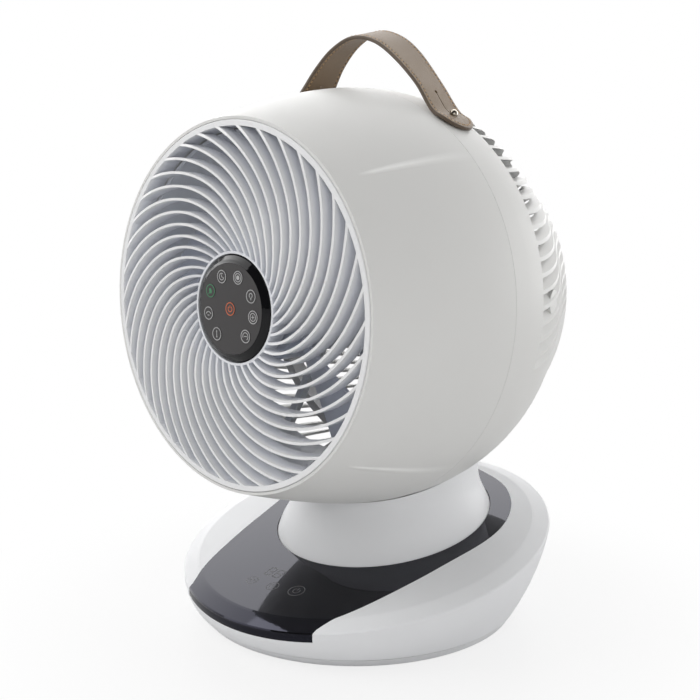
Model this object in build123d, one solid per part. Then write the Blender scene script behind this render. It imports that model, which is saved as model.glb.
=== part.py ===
from build123d import *
from math import atan2, cos, degrees, hypot, pi, radians, sin, sqrt
import os

# Desktop air circulator: barrel head with a spiral front grille and a magnetic remote in its hub,
# on a neck that pans on a sloping oval base. Millimetres, +Z up, front towards -Y.
# Origin: centre of the base's bottom circle, on the floor.

# ---- head: a body of revolution about a level line along Y ----
HEAD_Z = 236.6
PAN_Y = 40.0
FRONT_LIP_Y = -123.7
SEAM_Y = -15.7
SEAM_GAP = 0.3
HEAD_STATIONS = [(-123.7, 124.0), (-96.7, 133.0), (-66.7, 141.7), (-26.7, 150.1),
                 (13.3, 151.4), (53.3, 142.3), (83.3, 127.7)]
REAR_BALL_R = 135.0
REAR_FLAT_R = 45.0
FRONT_WALL = 2.0
REAR_WALL = 3.5
SEAM_TONGUE = 1.5
HOUSING_SCREW_R = 141.0
PILOT_R = 1.45
CLEARANCE_R = 1.6

# ---- front grille ----
GRILLE_INNER_R = 118.0
GRILLE_FACE_Y = -124.2
RIB_CROWN_Y = -125.9
RIB_DEPTH = 12.0
RIB_COUNT = 38
RIB_THICKNESS = 1.7
RIB_TURN = 0.874
RIB_START_ANGLE = -4.5
SPIGOT_R = 121.8
SPIGOT_LENGTH = 14.0
SPIGOT_SCREW_R = 119.9
SPIGOT_SCREW_COUNT = 4
DOCK_R = 37.7
DOCK_LIP = 1.8
DOCK_FACE_Y = -121.0
DOCK_FLOOR_Y = -110.8
DOCK_FLOOR = 2.6
MAGNET_R = 20.0
MAGNET_BORE_R = 10.0

# ---- rear intake slots ----
SLOT_PITCH = 4.12
SLOT_COUNT = 63
SLOT_FIRST_ANGLE = -12.5
SLOT_RIB = 1.8
SLOT_OUTER_R = 160.0
SLOT_YOKE_GAP = 0.8
SLOT_LEFT_Y = 17.6
SLOT_CORE_R = 52.0
SLOT_TURN = 0.45

# ---- tilt ----
TILT_UP = 55.0
YOKE_OUTER_R = 128.5
YOKE_INNER_R = 121.0
YOKE_WIDTH = 14.0
STEM_X = 26.0
STEM_Y = 18.0
STEM_FOOT_Z = 77.0
STEM_SCREW_X = 8.0
SLOT_SIDE_GAP = 1.5
SLOT_FRAME = 4.0
PIN_R = 4.0
RUN_GAP = 0.05
BOSS_R = 9.0
EAR_R = 15.0
TILT_MODULE = 1.25
TILT_GEAR_TEETH = 40
TILT_PINION_TEETH = 12
GEAR_WIDTH = 4.5
GEAR_SCREW_R = 9.8
TILT_GEAR_X = -117.0
TILT_MOTOR_R = 13.0
TILT_MOTOR_LENGTH = 17.0
TILT_MOTOR_SCREW_Z = 16.0
BRACKET_SCREW_X = 6.5
BRACKET_SCREW_Z = 13.0
BRACKET_HALF = 20.0
BRACKET_WALL = 1.6

# ---- fan ----
DUCT_INNER_R = 114.6
DUCT_WALL = 2.4
DUCT_FRONT_Y = -110.0
FLANGE_Y = -20.0
FLANGE_WALL = 2.5
MOUNT_WALL = 3.0
STRUT_COUNT = 6
STRUT_WIDTH = 6.0
STRUT_DEPTH = 6.0
MOTOR_R = 33.0
MOTOR_FRONT_Y = -48.0
MOTOR_REAR_Y = 6.0
MOTOR_SCREW_R = 21.0
SHAFT_R = 4.0
HUB_R = 38.0
HUB_FRONT_Y = -98.0
HUB_REAR_Y = -58.0
HUB_WALL = 2.6
BLADE_COUNT = 5
BLADE_PHASE = 52.0
BLADE_TIP_R = 111.5
BLADE_THICKNESS = 2.4
BLADE_ROOT_CHORD = 46.0
BLADE_TIP_CHORD = 84.0
BLADE_ROOT_PITCH = 42.0
BLADE_TIP_PITCH = 24.0

# ---- remote ----
REMOTE_R = DOCK_R - DOCK_LIP - 0.3
REMOTE_BACK_Y = DOCK_FLOOR_Y - 0.2
REMOTE_DEPTH = 12.7
REMOTE_RIM_DEPTH = 8.7
REMOTE_FACE_R = 30.2
REMOTE_WALL = 1.8
CELL_R = 10.0
DOOR_R = 12.0
PLATE_R = 22.0
KEY_R = 4.6
KEY_RING_R = 22.4
KEY_TRAVEL = 0.6
KEY_PROUD = 0.25
KEY_GAP = 0.15
KEY_ANGLES = {"key_timer": 110.0, "key_sleep": 68.0, "key_light": 24.0, "key_speed_up": -11.0,
              "key_speed_down": -50.0, "key_tilt_swing": -129.0, "key_pan_swing": -170.0,
              "key_eco": 150.0}

# ---- strap handle ----
STRAP_FRONT_Y = -14.9
STRAP_BACK_Y = 17.5
STRAP_THICKNESS = 2.6
STRAP_RIGHT_LIFT = 32.0
STRAP_LEFT_LIFT = -17.2
STUD_SHIFT = 2.9
STRAP_TAIL = 8.7
STRAP_FRONT_CREST = [(-38.0, 155.0), (-24.0, 168.6), (-8.0, 180.2), (11.0, 186.2), (31.0, 182.0),
                     (49.7, 169.2), (69.0, 150.0)]
STRAP_BACK_CREST = [(-36.0, 157.5), (-25.0, 174.0), (-9.0, 188.0), (11.0, 194.4), (31.0, 188.3),
                    (48.0, 175.0), (67.0, 151.6)]
STUD_R = 2.9
STUD_RISE = 0.5
STUD_UNDERSIDE = 0.2
STUD_POST_DEPTH = 6.0
STUD_POST_R = 1.6

# ---- neck ----
NECK_OUTLINE = [(40.0, 91.8), (48.0, 90.9), (55.0, 88.7), (64.0, 84.5), (71.0, 80.3),
                (78.0, 76.5), (85.0, 73.0), (92.0, 70.6), (100.0, 69.5), (110.0, 69.3)]
NECK_WALL = 3.0
HEAD_GAP = 0.5
NECK_GAP = 0.8
NECK_FLANGE_Z = 36.0
NECK_FLANGE_INNER_R = 76.0

# ---- pan drive ----
TURNTABLE_R = 88.0
TURNTABLE_Z = 33.0
TURNTABLE_SCREW_R = 82.0
TURNTABLE_SCREW_COUNT = 4
SPINDLE_R = 9.0
PAN_MODULE = 1.25
PAN_GEAR_TEETH = 48
PAN_PINION_TEETH = 16
PAN_GEAR_Z = 25.0
PAN_MOTOR_R = 22.0
PAN_MOTOR_ANGLE = 20.0
TRACK_R = 69.0
TRACK_WALL = 3.0
GLIDE_HEIGHT = 3.0

# ---- base ----
BOTTOM_R = 117.7
RIM_R = 142.1
RIM_Y = 8.6
RIM_Z = 54.4
WALL_BULGE = 0.55
SLOPE = 12.2
TOP_RISE = 3.7
BASE_WALL = 5.0
LENS_WALL = 2.4
LENS_GAP = 0.1
COVER_TOP_Z = 6.8
COVER_UNDER_Z = 0.8
COVER_SEAM = 0.5
LENS_RING_X = 101.0
LENS_RING_Y = 95.5
LENS_MIDDLE_Y = 33.3
LENS_DROP = 5.6
SHOULDER = 12.2
LENS_EDGE = [(63.2, -112.0), (72.8, -90.0), (79.6, -70.0), (85.1, -50.0), (90.0, -30.0), (94.4, -8.0)]
FOOT_R = 8.0
FOOT_COUNT = 5
FOOT_RING_R = 98.0
BALLAST_THICKNESS = 9.0
COVER_FLOOR = 2.4
COVER_SCREW_R = 104.5
BOARD_Z = 17.0
BOARD_THICKNESS = 1.6
PANEL_BOARD_Y = -95.0
JACK_Z = 17.0
JACK_R = 5.4
JACK_BORE_R = 2.8
JACK_PIN_R = 1.0
JACK_FACE_Y = 121.5


# ---------------------------------------------------------------- helpers

def cyl_x(radius, x0, x1, y=PAN_Y, z=HEAD_Z):
    return Pos((x0 + x1) / 2, y, z) * Rot(0, 90, 0) * Cylinder(radius, abs(x1 - x0))


def cyl_y(radius, y0, y1, x=0.0, z=HEAD_Z):
    return Pos(x, (y0 + y1) / 2, z) * Rot(90, 0, 0) * Cylinder(radius, abs(y1 - y0))


def cyl_z(radius, z0, z1, x=0.0, y=PAN_Y):
    return Pos(x, y, (z0 + z1) / 2) * Cylinder(radius, abs(z1 - z0))


def block(x0, x1, y0, y1, z0, z1):
    size = Box(abs(x1 - x0), abs(y1 - y0), abs(z1 - z0))
    return Pos((x0 + x1) / 2, (y0 + y1) / 2, (z0 + z1) / 2) * size


def lathe_y(outline):
    """Turn a closed outline of (y, radius) corners about the head's axis."""
    pts = [Vector(0, y, HEAD_Z + r) for y, r in outline]
    face = Face(Wire.make_polygon(pts, close=True))
    return revolve(face, axis=Axis((0, 0, HEAD_Z), (0, 1, 0)), revolution_arc=360)


def lathe_y_curves(outer, inner):
    """Turn the band between two smooth (y, radius) lines about the head's axis."""
    out = [Vector(0, y, HEAD_Z + r) for y, r in outer]
    back = [Vector(0, y, HEAD_Z + r) for y, r in inner]
    wire = Wire([Edge.make_spline(out), Edge.make_line(out[-1], back[-1]),
                 Edge.make_spline(back), Edge.make_line(back[0], out[0])])
    return revolve(Face(wire), axis=Axis((0, 0, HEAD_Z), (0, 1, 0)), revolution_arc=360)


def lathe_z(outline, y=PAN_Y):
    """Turn a closed outline of (z, radius) corners about an upright line."""
    pts = [Vector(r, y, z) for z, r in outline]
    face = Face(Wire.make_polygon(pts, close=True))
    return revolve(face, axis=Axis((0, y, 0), (0, 0, 1)), revolution_arc=360)


def head_end():
    """Where the head's flat rear disc lies."""
    return PAN_Y + sqrt(REAR_BALL_R**2 - REAR_FLAT_R**2)


def head_line(y0, y1, inset=0.0):
    """Outer line of the head between two stations, moved inwards by inset."""
    line = list(HEAD_STATIONS)
    for y in (98.0, 113.0, 127.0, 140.0, 151.0, 160.0, head_end()):
        line.append((y, sqrt(REAR_BALL_R**2 - (y - PAN_Y)**2)))
    curve = Edge.make_spline([Vector(0, y, r) for y, r in line])
    out = []
    for i in range(201):
        p = curve.position_at(i / 200)
        t = curve.tangent_at(i / 200)
        out.append((p.Y + t.Z * inset, p.Z - t.Y * inset))
    picked = [q for q in out if y0 < q[0] < y1]
    ends = [(y, line_radius(out, y)) for y in (y0, y1)]
    step = max(1, len(picked) // 12)
    middle = picked[step // 2::step]
    middle = [q for q in middle if q[0] > y0 + 3 and q[0] < y1 - 3]
    return [ends[0]] + middle + [ends[1]]


def line_radius(line, y):
    """Radius of a (y, radius) line at one station."""
    for (ya, ra), (yb, rb) in zip(line, line[1:]):
        if ya <= y <= yb:
            return ra + (rb - ra) * (y - ya) / (yb - ya)
    return line[0][1] if y < line[0][0] else line[-1][1]


def head_solid(grow):
    """The whole head's outside as a solid, grown by a clearance."""
    line = head_line(FRONT_LIP_Y - 5.0, head_end(), -grow)
    pts = [Vector(0, y, HEAD_Z + r) for y, r in line]
    a = Vector(0, line[0][0], HEAD_Z)
    b = Vector(0, line[-1][0], HEAD_Z)
    wire = Wire([Edge.make_line(a, pts[0]), Edge.make_spline(pts),
                 Edge.make_line(pts[-1], b), Edge.make_line(b, a)])
    return revolve(Face(wire), axis=Axis((0, 0, HEAD_Z), (0, 1, 0)), revolution_arc=360)


def on_slope(shape):
    """Carry a shape from the rim's own plane into place."""
    return Pos(0, RIM_Y, RIM_Z) * Rot(SLOPE, 0, 0) * shape


def spur_gear(module, teeth, width, bore, phase=0.0):
    """Straight-toothed wheel about Z, centred on the origin, a tooth centred on phase degrees."""
    pitch_r = module * teeth / 2
    tip_r = pitch_r + module * 0.9
    root_r = pitch_r - module * 1.15
    flank = [(root_r, 1.42), (pitch_r - module * 0.45, 1.16), (pitch_r, 0.93),
             (pitch_r + module * 0.5, 0.66), (tip_r, 0.36)]
    steps = [(r, -h) for r, h in flank] + flank[::-1]
    pts = []
    half = pi / (2 * teeth)
    for k in range(teeth):
        base = radians(phase) + 2 * pi * k / teeth
        for r, h in steps:
            a = base + half * h
            pts.append(Vector(r * cos(a), r * sin(a), 0))
    face = Face(Wire.make_polygon(pts, close=True))
    wheel = extrude(face, amount=width / 2, dir=(0, 0, 1), both=True)
    return wheel - Cylinder(bore, width + 2)


def screw_y(x, z, head_y, length, head_r=3.0, shank_r=1.4):
    """Pan-head screw along Y, its head on the -Y or +Y side of head_y by the sign of length."""
    side = 1 if length > 0 else -1
    shank = cyl_y(shank_r, head_y - side * 0.1, head_y + length, x, z)
    return shank + cyl_y(head_r, head_y - side * 1.8, head_y, x, z)


def polar(radius, angle):
    return radius * cos(radians(angle)), radius * sin(radians(angle))


def ring_places(radius, count, first):
    """Evenly spaced places on a circle."""
    return [polar(radius, first + 360 / count * k) for k in range(count)]


def rib_half_gap(pitch, thickness, turn, r):
    """Half the angle left open between spiral ribs of even thickness."""
    lean = sqrt(1 + (r * radians(turn))**2)
    return pitch / 2 - degrees(thickness * lean / r) / 2


# ---------------------------------------------------------------- head shells

def spiral_window(r0, r1, centre, turn, angular_half):
    """Curved slot seen along Y: both long sides follow the same spiral."""
    n = 7
    left, right = [], []
    for i in range(n):
        r = r0 + (r1 - r0) * i / (n - 1)
        mid = centre + turn * (r - r0)
        half = angular_half(r)
        for side, sign in ((left, 1), (right, -1)):
            x, z = polar(r, mid + sign * half)
            side.append(Vector(x, 0, HEAD_Z + z))
    x1, z1 = polar(r1, centre + turn * (r1 - r0))
    x0, z0 = polar(r0, centre)
    outer = Edge.make_three_point_arc(left[-1], Vector(x1, 0, HEAD_Z + z1), right[-1])
    inner = Edge.make_three_point_arc(right[0], Vector(x0, 0, HEAD_Z + z0), left[0])
    return Face(Wire([Edge.make_spline(left), outer, Edge.make_spline(right), inner]))


def make_front_housing():
    outer = head_line(FRONT_LIP_Y, SEAM_Y - SEAM_GAP / 2)
    inner = head_line(FRONT_LIP_Y, SEAM_Y - SEAM_GAP / 2, FRONT_WALL)
    shell = lathe_y_curves(outer, inner)
    for x, z in housing_screw_places():
        wide = cyl_y(5.2, -52, FLANGE_Y, x, HEAD_Z + z)
        shell += wide & head_solid(-1.2)
        shell -= cyl_y(PILOT_R, FLANGE_Y - 12, FLANGE_Y + 1, x, HEAD_Z + z)
    ledge_y = GRILLE_FACE_Y + SPIGOT_LENGTH + 0.1
    ledge = lathe_y([(ledge_y, GRILLE_INNER_R), (ledge_y, 129.0), (ledge_y + 2.2, 129.0),
                     (ledge_y + 2.2, GRILLE_INNER_R)])
    shell += ledge & head_solid(-1.0)
    for x, z in spigot_screw_places():
        shell -= cyl_y(1.2, ledge_y - 1, ledge_y + 4, x, HEAD_Z + z)
    return shell


def housing_screw_places():
    return ring_places(HOUSING_SCREW_R, STRUT_COUNT, 180 / STRUT_COUNT)


def spigot_screw_places():
    return ring_places(SPIGOT_SCREW_R, SPIGOT_SCREW_COUNT, 45)


def make_grille_screws():
    head_y = GRILLE_FACE_Y + SPIGOT_LENGTH + 2.32
    return Compound([screw_y(x, HEAD_Z + z, head_y, -11.0, 2.0, 1.05) for x, z in spigot_screw_places()])


def rear_slots():
    """Cutters for the spiral air slots, kept clear of the frame round the stem's window."""
    half_frame = STEM_X / 2 + SLOT_SIDE_GAP + SLOT_FRAME
    frame = block(-half_frame, half_frame, SLOT_LEFT_Y, 200, HEAD_Z - 170, HEAD_Z - 60)
    cutters = []
    for k in range(SLOT_COUNT):
        angle = SLOT_FIRST_ANGLE + SLOT_PITCH * k
        # the slot meets the outer wall at the given angle, further turned towards the core
        start = angle + SLOT_TURN * (SLOT_OUTER_R - SLOT_CORE_R) * 0.86
        face = spiral_window(SLOT_CORE_R, SLOT_OUTER_R, start, -SLOT_TURN,
                             lambda r: rib_half_gap(SLOT_PITCH, SLOT_RIB, SLOT_TURN, r))
        cutter = Pos(0, SLOT_LEFT_Y, 0) * extrude(face, amount=160, dir=(0, 1, 0))
        crosses_frame = start > 240
        cutters.append(cutter - frame if crosses_frame else cutter)
    return cutters


def slot_ribs():
    """Deeper wall inside the slotted part of the rear, left out of the closed sector underneath."""
    y1 = head_end()
    depth = REAR_BALL_R - hypot(YOKE_OUTER_R, YOKE_WIDTH / 2) - SLOT_YOKE_GAP
    outer = head_line(SLOT_LEFT_Y - 1.0, y1, REAR_WALL - 0.5)
    inner = head_line(SLOT_LEFT_Y - 1.0, y1 - depth, depth)
    last_angle = SLOT_FIRST_ANGLE + SLOT_PITCH * SLOT_COUNT
    corners = [(0.0, 0.0)]
    for share in (0.0, 0.5, 1.0):
        corners.append(polar(400, SLOT_FIRST_ANGLE - 5 - (355 - last_angle + SLOT_FIRST_ANGLE) * share))
    sector = Face(Wire.make_polygon([Vector(x, 0, HEAD_Z + z) for x, z in corners], close=True))
    return lathe_y_curves(outer, inner) - extrude(sector, amount=200, dir=(0, 1, 0))


def tilt_window(r0, r1, first, last, half_x):
    """Block that follows an arc about the tilt axis; angles run from straight ahead downwards."""
    pts = []
    n = 12
    for i in range(n + 1):
        a = radians(first + (last - first) * i / n)
        pts.append(Vector(0, PAN_Y - r1 * cos(a), HEAD_Z - r1 * sin(a)))
    for i in range(n, -1, -1):
        a = radians(first + (last - first) * i / n)
        pts.append(Vector(0, PAN_Y - r0 * cos(a), HEAD_Z - r0 * sin(a)))
    face = Face(Wire.make_polygon(pts, close=True))
    return extrude(face, amount=half_x, dir=(1, 0, 0), both=True)


def make_rear_housing():
    y1 = head_end()
    outer = head_line(SEAM_Y + SEAM_GAP / 2, y1)
    inner = head_line(SEAM_Y + SEAM_GAP / 2, y1 - REAR_WALL, REAR_WALL)
    shell = lathe_y_curves(outer, inner)
    shell += slot_ribs()
    shell += cyl_y(SLOT_CORE_R, y1 - REAR_WALL - 1.5, y1) & head_solid(0.0)
    shell -= rear_slots()
    tongue = line_radius(head_line(-100.0, 100.0), SEAM_Y - 5) - FRONT_WALL - 0.1
    root = tongue - SEAM_TONGUE
    shell += lathe_y([(SEAM_Y - 5, tongue), (SEAM_Y - 5, root), (SEAM_Y + 6, root),
                      (SEAM_Y + 6, tongue + 0.9), (SEAM_Y + 0.5, tongue + 0.9), (SEAM_Y + 0.5, tongue)])
    for side in (-1, 1):
        boss = cyl_x(BOSS_R, side * (YOKE_OUTER_R + 0.4), side * 149.0)
        shell += boss & head_solid(-1.0)
        shell -= cyl_x(PIN_R + 0.02, side * 120.0, side * 141.5)
    for angle in stud_angles():
        shell -= at_stud(Cylinder(STUD_POST_R + 0.02, 24), angle)
    swing = degrees(atan2(STEM_Y / 2, YOKE_OUTER_R)) + 1.0
    shell -= tilt_window(118, 165, 90 - swing, 90 + TILT_UP + swing, STEM_X / 2 + SLOT_SIDE_GAP)
    return shell


# ---------------------------------------------------------------- front grille

def make_front_grille():
    rear_y = GRILLE_FACE_Y + SPIGOT_LENGTH
    rib_rear_y = RIB_CROWN_Y + RIB_DEPTH
    floor_y = DOCK_FLOOR_Y + DOCK_FLOOR
    dock_inner = DOCK_R - DOCK_LIP
    body = lathe_y([(GRILLE_FACE_Y, SPIGOT_R - 0.5), (GRILLE_FACE_Y + 0.5, SPIGOT_R), (rear_y, SPIGOT_R),
                    (rear_y, GRILLE_INNER_R + 0.1), (rib_rear_y + 1, GRILLE_INNER_R), (rib_rear_y, 100.0),
                    (rib_rear_y, 62.0), (DOCK_FACE_Y + 9.0, DOCK_R + 1.0), (floor_y, DOCK_R), (floor_y, 0.0),
                    (DOCK_FLOOR_Y, 0.0), (DOCK_FLOOR_Y, dock_inner), (DOCK_FACE_Y, dock_inner + 0.4),
                    (DOCK_FACE_Y, DOCK_R), (-124.1, 50.0), (-125.6, 60.0), (RIB_CROWN_Y, 75.0),
                    (RIB_CROWN_Y, 100.0), (-125.2, 112.0), (GRILLE_FACE_Y, GRILLE_INNER_R)])
    pitch = 360 / RIB_COUNT
    windows = []
    for k in range(RIB_COUNT):
        centre = RIB_START_ANGLE + pitch * (k + 0.5)
        face = spiral_window(DOCK_R + 0.2, GRILLE_INNER_R, centre, RIB_TURN,
                             lambda r: rib_half_gap(pitch, RIB_THICKNESS, RIB_TURN, r))
        windows.append(Pos(0, -140, 0) * extrude(face, amount=40, dir=(0, 1, 0)))
    grille = body - windows
    magnet_y = floor_y - 1.6
    grille -= cyl_y(MAGNET_R + 0.3, magnet_y, DOCK_FLOOR_Y + 10) - cyl_y(MAGNET_BORE_R - 0.3, -130, -90)
    for x, z in spigot_screw_places():
        grille -= cyl_y(1.1, GRILLE_FACE_Y + 4, GRILLE_FACE_Y + 20, x, HEAD_Z + z)
    return grille


def make_dock_magnet():
    y0 = DOCK_FLOOR_Y + DOCK_FLOOR - 1.5
    return cyl_y(MAGNET_R, y0, y0 + 3.0) - cyl_y(MAGNET_BORE_R, y0 - 1, y0 + 5)


# ---------------------------------------------------------------- fan

def make_duct_ring():
    outer = DUCT_INNER_R + DUCT_WALL
    ring = lathe_y([(DUCT_FRONT_Y, DUCT_INNER_R), (DUCT_FRONT_Y, outer), (FLANGE_Y, outer), (FLANGE_Y, 146.2),
                    (FLANGE_Y + FLANGE_WALL, 146.2), (FLANGE_Y + FLANGE_WALL, DUCT_INNER_R + 4),
                    (FLANGE_Y + 0.5, DUCT_INNER_R)])
    for x, z in housing_screw_places():
        ring -= cyl_y(CLEARANCE_R, FLANGE_Y - 1, FLANGE_Y + 5, x, HEAD_Z + z)
    return ring


def make_motor_mount():
    y0 = FLANGE_Y + FLANGE_WALL
    y1 = MOTOR_REAR_Y + 0.02
    mount = lathe_y([(y0, 133.0), (y0, 145.6), (y0 + MOUNT_WALL, 145.6), (y0 + MOUNT_WALL, 133.0)])
    mount += lathe_y([(y0 - 14, MOTOR_R + 0.1), (y0 - 14, MOTOR_R + 3), (y1 + 3, MOTOR_R + 3), (y1 + 3, 12.0),
                      (y1, 12.0), (y1, MOTOR_R + 0.1)])
    for k in range(STRUT_COUNT):
        strut = block(MOTOR_R + 1.5, 134.5, y0, y0 + STRUT_DEPTH, -STRUT_WIDTH / 2, STRUT_WIDTH / 2)
        mount += Pos(0, 0, HEAD_Z) * Rot(0, -360 / STRUT_COUNT * k, 0) * strut
    x1 = tilt_motor_x()
    mount += block(x1 - 3, x1 + 13, y0, y0 + STRUT_DEPTH, HEAD_Z - BRACKET_HALF, HEAD_Z + BRACKET_HALF)
    for x, z in housing_screw_places():
        mount -= cyl_y(CLEARANCE_R, y0 - 1, y0 + 6, x, HEAD_Z + z)
    for x, z in motor_screw_places():
        mount -= cyl_y(1.7, y1 - 1, y1 + 5, x, HEAD_Z + z)
    for side in (-1, 1):
        z = HEAD_Z + side * BRACKET_SCREW_Z
        mount -= cyl_y(PILOT_R, y0 - 1, y0 + STRUT_DEPTH + 1, x1 + BRACKET_SCREW_X, z)
    return mount


def motor_screw_places():
    return ring_places(MOTOR_SCREW_R, 3, 90)


def make_motor_screws():
    head_y = MOTOR_REAR_Y + 3.04
    return Compound([screw_y(x, HEAD_Z + z, head_y, -9.0) for x, z in motor_screw_places()])


def make_mount_screws():
    y0 = FLANGE_Y + FLANGE_WALL + MOUNT_WALL
    return Compound([screw_y(x, HEAD_Z + z, y0, -13.0) for x, z in housing_screw_places()])


def make_fan_motor():
    can = lathe_y([(MOTOR_FRONT_Y, 0), (MOTOR_FRONT_Y, MOTOR_R - 5), (MOTOR_FRONT_Y + 4, MOTOR_R),
                   (MOTOR_REAR_Y - 4, MOTOR_R), (MOTOR_REAR_Y, MOTOR_R - 4), (MOTOR_REAR_Y, 0)])
    can += cyl_y(11, MOTOR_FRONT_Y - 5, MOTOR_FRONT_Y + 1)
    can -= cyl_y(SHAFT_R + RUN_GAP, MOTOR_FRONT_Y - 6, MOTOR_REAR_Y - 6)
    for x, z in motor_screw_places():
        can -= cyl_y(PILOT_R, MOTOR_REAR_Y - 8, MOTOR_REAR_Y + 1, x, HEAD_Z + z)
    return can


def make_motor_shaft():
    return cyl_y(SHAFT_R, HUB_FRONT_Y - 7, MOTOR_REAR_Y - 7)


def blade():
    """One twisted blade standing out along +X."""
    sections = []
    root = (HUB_R - 1.5, BLADE_ROOT_CHORD, BLADE_ROOT_PITCH)
    tip = (BLADE_TIP_R + 3, BLADE_TIP_CHORD, BLADE_TIP_PITCH)
    middle = [(a + b) / 2 for a, b in zip(root, tip)]
    for r, chord, pitch in (root, middle, tip):
        plane = Plane(origin=(r, (HUB_FRONT_Y + HUB_REAR_Y) / 2, HEAD_Z), x_dir=(0, 0, 1), z_dir=(1, 0, 0))
        sections.append(plane * Rot(0, 0, pitch) * Rectangle(chord, BLADE_THICKNESS))
    return loft(sections)


def make_impeller():
    inner = HUB_R - HUB_WALL
    cup = lathe_y([(HUB_FRONT_Y, 0), (HUB_FRONT_Y, HUB_R - 7), (HUB_FRONT_Y + 2.2, HUB_R - 2),
                   (HUB_FRONT_Y + 7, HUB_R), (HUB_REAR_Y, HUB_R), (HUB_REAR_Y, inner),
                   (HUB_FRONT_Y + 8, inner), (HUB_FRONT_Y + 3, HUB_R - 8), (HUB_FRONT_Y + 3, 0)])
    cup += cyl_y(9.5, HUB_FRONT_Y + 1, HUB_REAR_Y - 2)
    one = blade() & (cyl_y(BLADE_TIP_R, -130, 0) - cyl_y(HUB_R - 1.2, -131, 1))
    for k in range(BLADE_COUNT):
        turn = Rot(0, 360 / BLADE_COUNT * k + BLADE_PHASE, 0)
        cup += Pos(0, 0, HEAD_Z) * turn * Pos(0, 0, -HEAD_Z) * one
    return cup - cyl_y(SHAFT_R + 0.02, -130, 0)


def make_impeller_nut():
    nut = lathe_y([(HUB_FRONT_Y - 9, 0), (HUB_FRONT_Y - 9, 6), (HUB_FRONT_Y - 7, 9), (HUB_FRONT_Y - 0.05, 10),
                   (HUB_FRONT_Y - 0.05, 0)])
    return nut - cyl_y(SHAFT_R + 0.02, HUB_FRONT_Y - 7.05, HUB_FRONT_Y + 1)


# ---------------------------------------------------------------- tilt

def make_tilt_yoke():
    ring = cyl_y(YOKE_OUTER_R, PAN_Y - YOKE_WIDTH / 2, PAN_Y + YOKE_WIDTH / 2)
    ring -= cyl_y(YOKE_INNER_R, PAN_Y - YOKE_WIDTH, PAN_Y + YOKE_WIDTH)
    ring -= block(-140, 140, 0, 90, HEAD_Z, HEAD_Z + 140)
    for side in (-1, 1):
        ring += cyl_x(EAR_R, side * (YOKE_INNER_R - 0.3), side * (YOKE_OUTER_R - 0.1))
    ring += cyl_x(EAR_R - 1, TILT_GEAR_X - 0.02, -YOKE_INNER_R)
    yoke = ring + block(-STEM_X / 2, STEM_X / 2, PAN_Y - STEM_Y / 2, PAN_Y + STEM_Y / 2,
                        STEM_FOOT_Z, HEAD_Z - YOKE_INNER_R - 3)
    yoke -= cyl_x(PIN_R + RUN_GAP, -140, 140)
    for y, z in gear_screw_places():
        yoke -= cyl_x(1.3, TILT_GEAR_X - 8, TILT_GEAR_X + 5, PAN_Y + y, HEAD_Z + z)
    yoke -= cyl_z(3.0, STEM_FOOT_Z + 14, HEAD_Z - 100)
    for x in (-STEM_SCREW_X, STEM_SCREW_X):
        yoke -= cyl_z(PILOT_R, STEM_FOOT_Z - 1, STEM_FOOT_Z + 12, x)
    return yoke


def gear_screw_places():
    return ring_places(GEAR_SCREW_R, 3, 90)


def make_gear_screws():
    parts = []
    x0 = TILT_GEAR_X + GEAR_WIDTH + 0.02
    for y, z in gear_screw_places():
        parts.append(cyl_x(1.25, x0 - 10, x0 + 0.1, PAN_Y + y, HEAD_Z + z)
                     + cyl_x(2.3, x0, x0 + 1.5, PAN_Y + y, HEAD_Z + z))
    return Compound(parts)


def make_tilt_pins():
    left = cyl_x(PIN_R, TILT_GEAR_X + 0.5, -141.0)
    right = cyl_x(PIN_R, YOKE_INNER_R - 0.4, 141.0)
    return Compound([left, right])


def gear_x(wheel, x, y, z):
    """Stand a wheel made about Z on an axis along X."""
    return Pos(x, y, z) * Rot(0, 90, 0) * wheel


def make_tilt_gear():
    phase = 90.0 + 180.0 / TILT_GEAR_TEETH
    wheel = spur_gear(TILT_MODULE, TILT_GEAR_TEETH, GEAR_WIDTH, PIN_R + 0.4, phase)
    gear = gear_x(wheel, TILT_GEAR_X + GEAR_WIDTH / 2, PAN_Y, HEAD_Z)
    for y, z in gear_screw_places():
        gear -= cyl_x(1.5, TILT_GEAR_X - 1, TILT_GEAR_X + 9, PAN_Y + y, HEAD_Z + z)
    return gear


def tilt_pinion_y():
    return PAN_Y - TILT_MODULE * (TILT_GEAR_TEETH + TILT_PINION_TEETH) / 2 - 0.15


def make_tilt_pinion():
    wheel = spur_gear(TILT_MODULE, TILT_PINION_TEETH, GEAR_WIDTH, 1.0, phase=90.0)
    pinion = gear_x(wheel, TILT_GEAR_X + GEAR_WIDTH / 2, tilt_pinion_y(), HEAD_Z)
    return pinion + cyl_x(1.5, TILT_GEAR_X, TILT_GEAR_X + GEAR_WIDTH + 12, tilt_pinion_y())


def tilt_motor_x():
    return TILT_GEAR_X + GEAR_WIDTH + 1.0 + BRACKET_WALL


def make_tilt_motor():
    x0 = tilt_motor_x()
    y = tilt_pinion_y()
    can = cyl_x(TILT_MOTOR_R, x0, x0 + TILT_MOTOR_LENGTH, y)
    can += block(x0, x0 + 1.0, y - 3.5, y + 3.5, HEAD_Z - 19, HEAD_Z + 19)
    for side in (-1, 1):
        can -= cyl_x(CLEARANCE_R, x0 - 1, x0 + 2, y, HEAD_Z + side * TILT_MOTOR_SCREW_Z)
    return can - cyl_x(1.5 + RUN_GAP, x0 - 1, x0 + 11.5, y)


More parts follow.
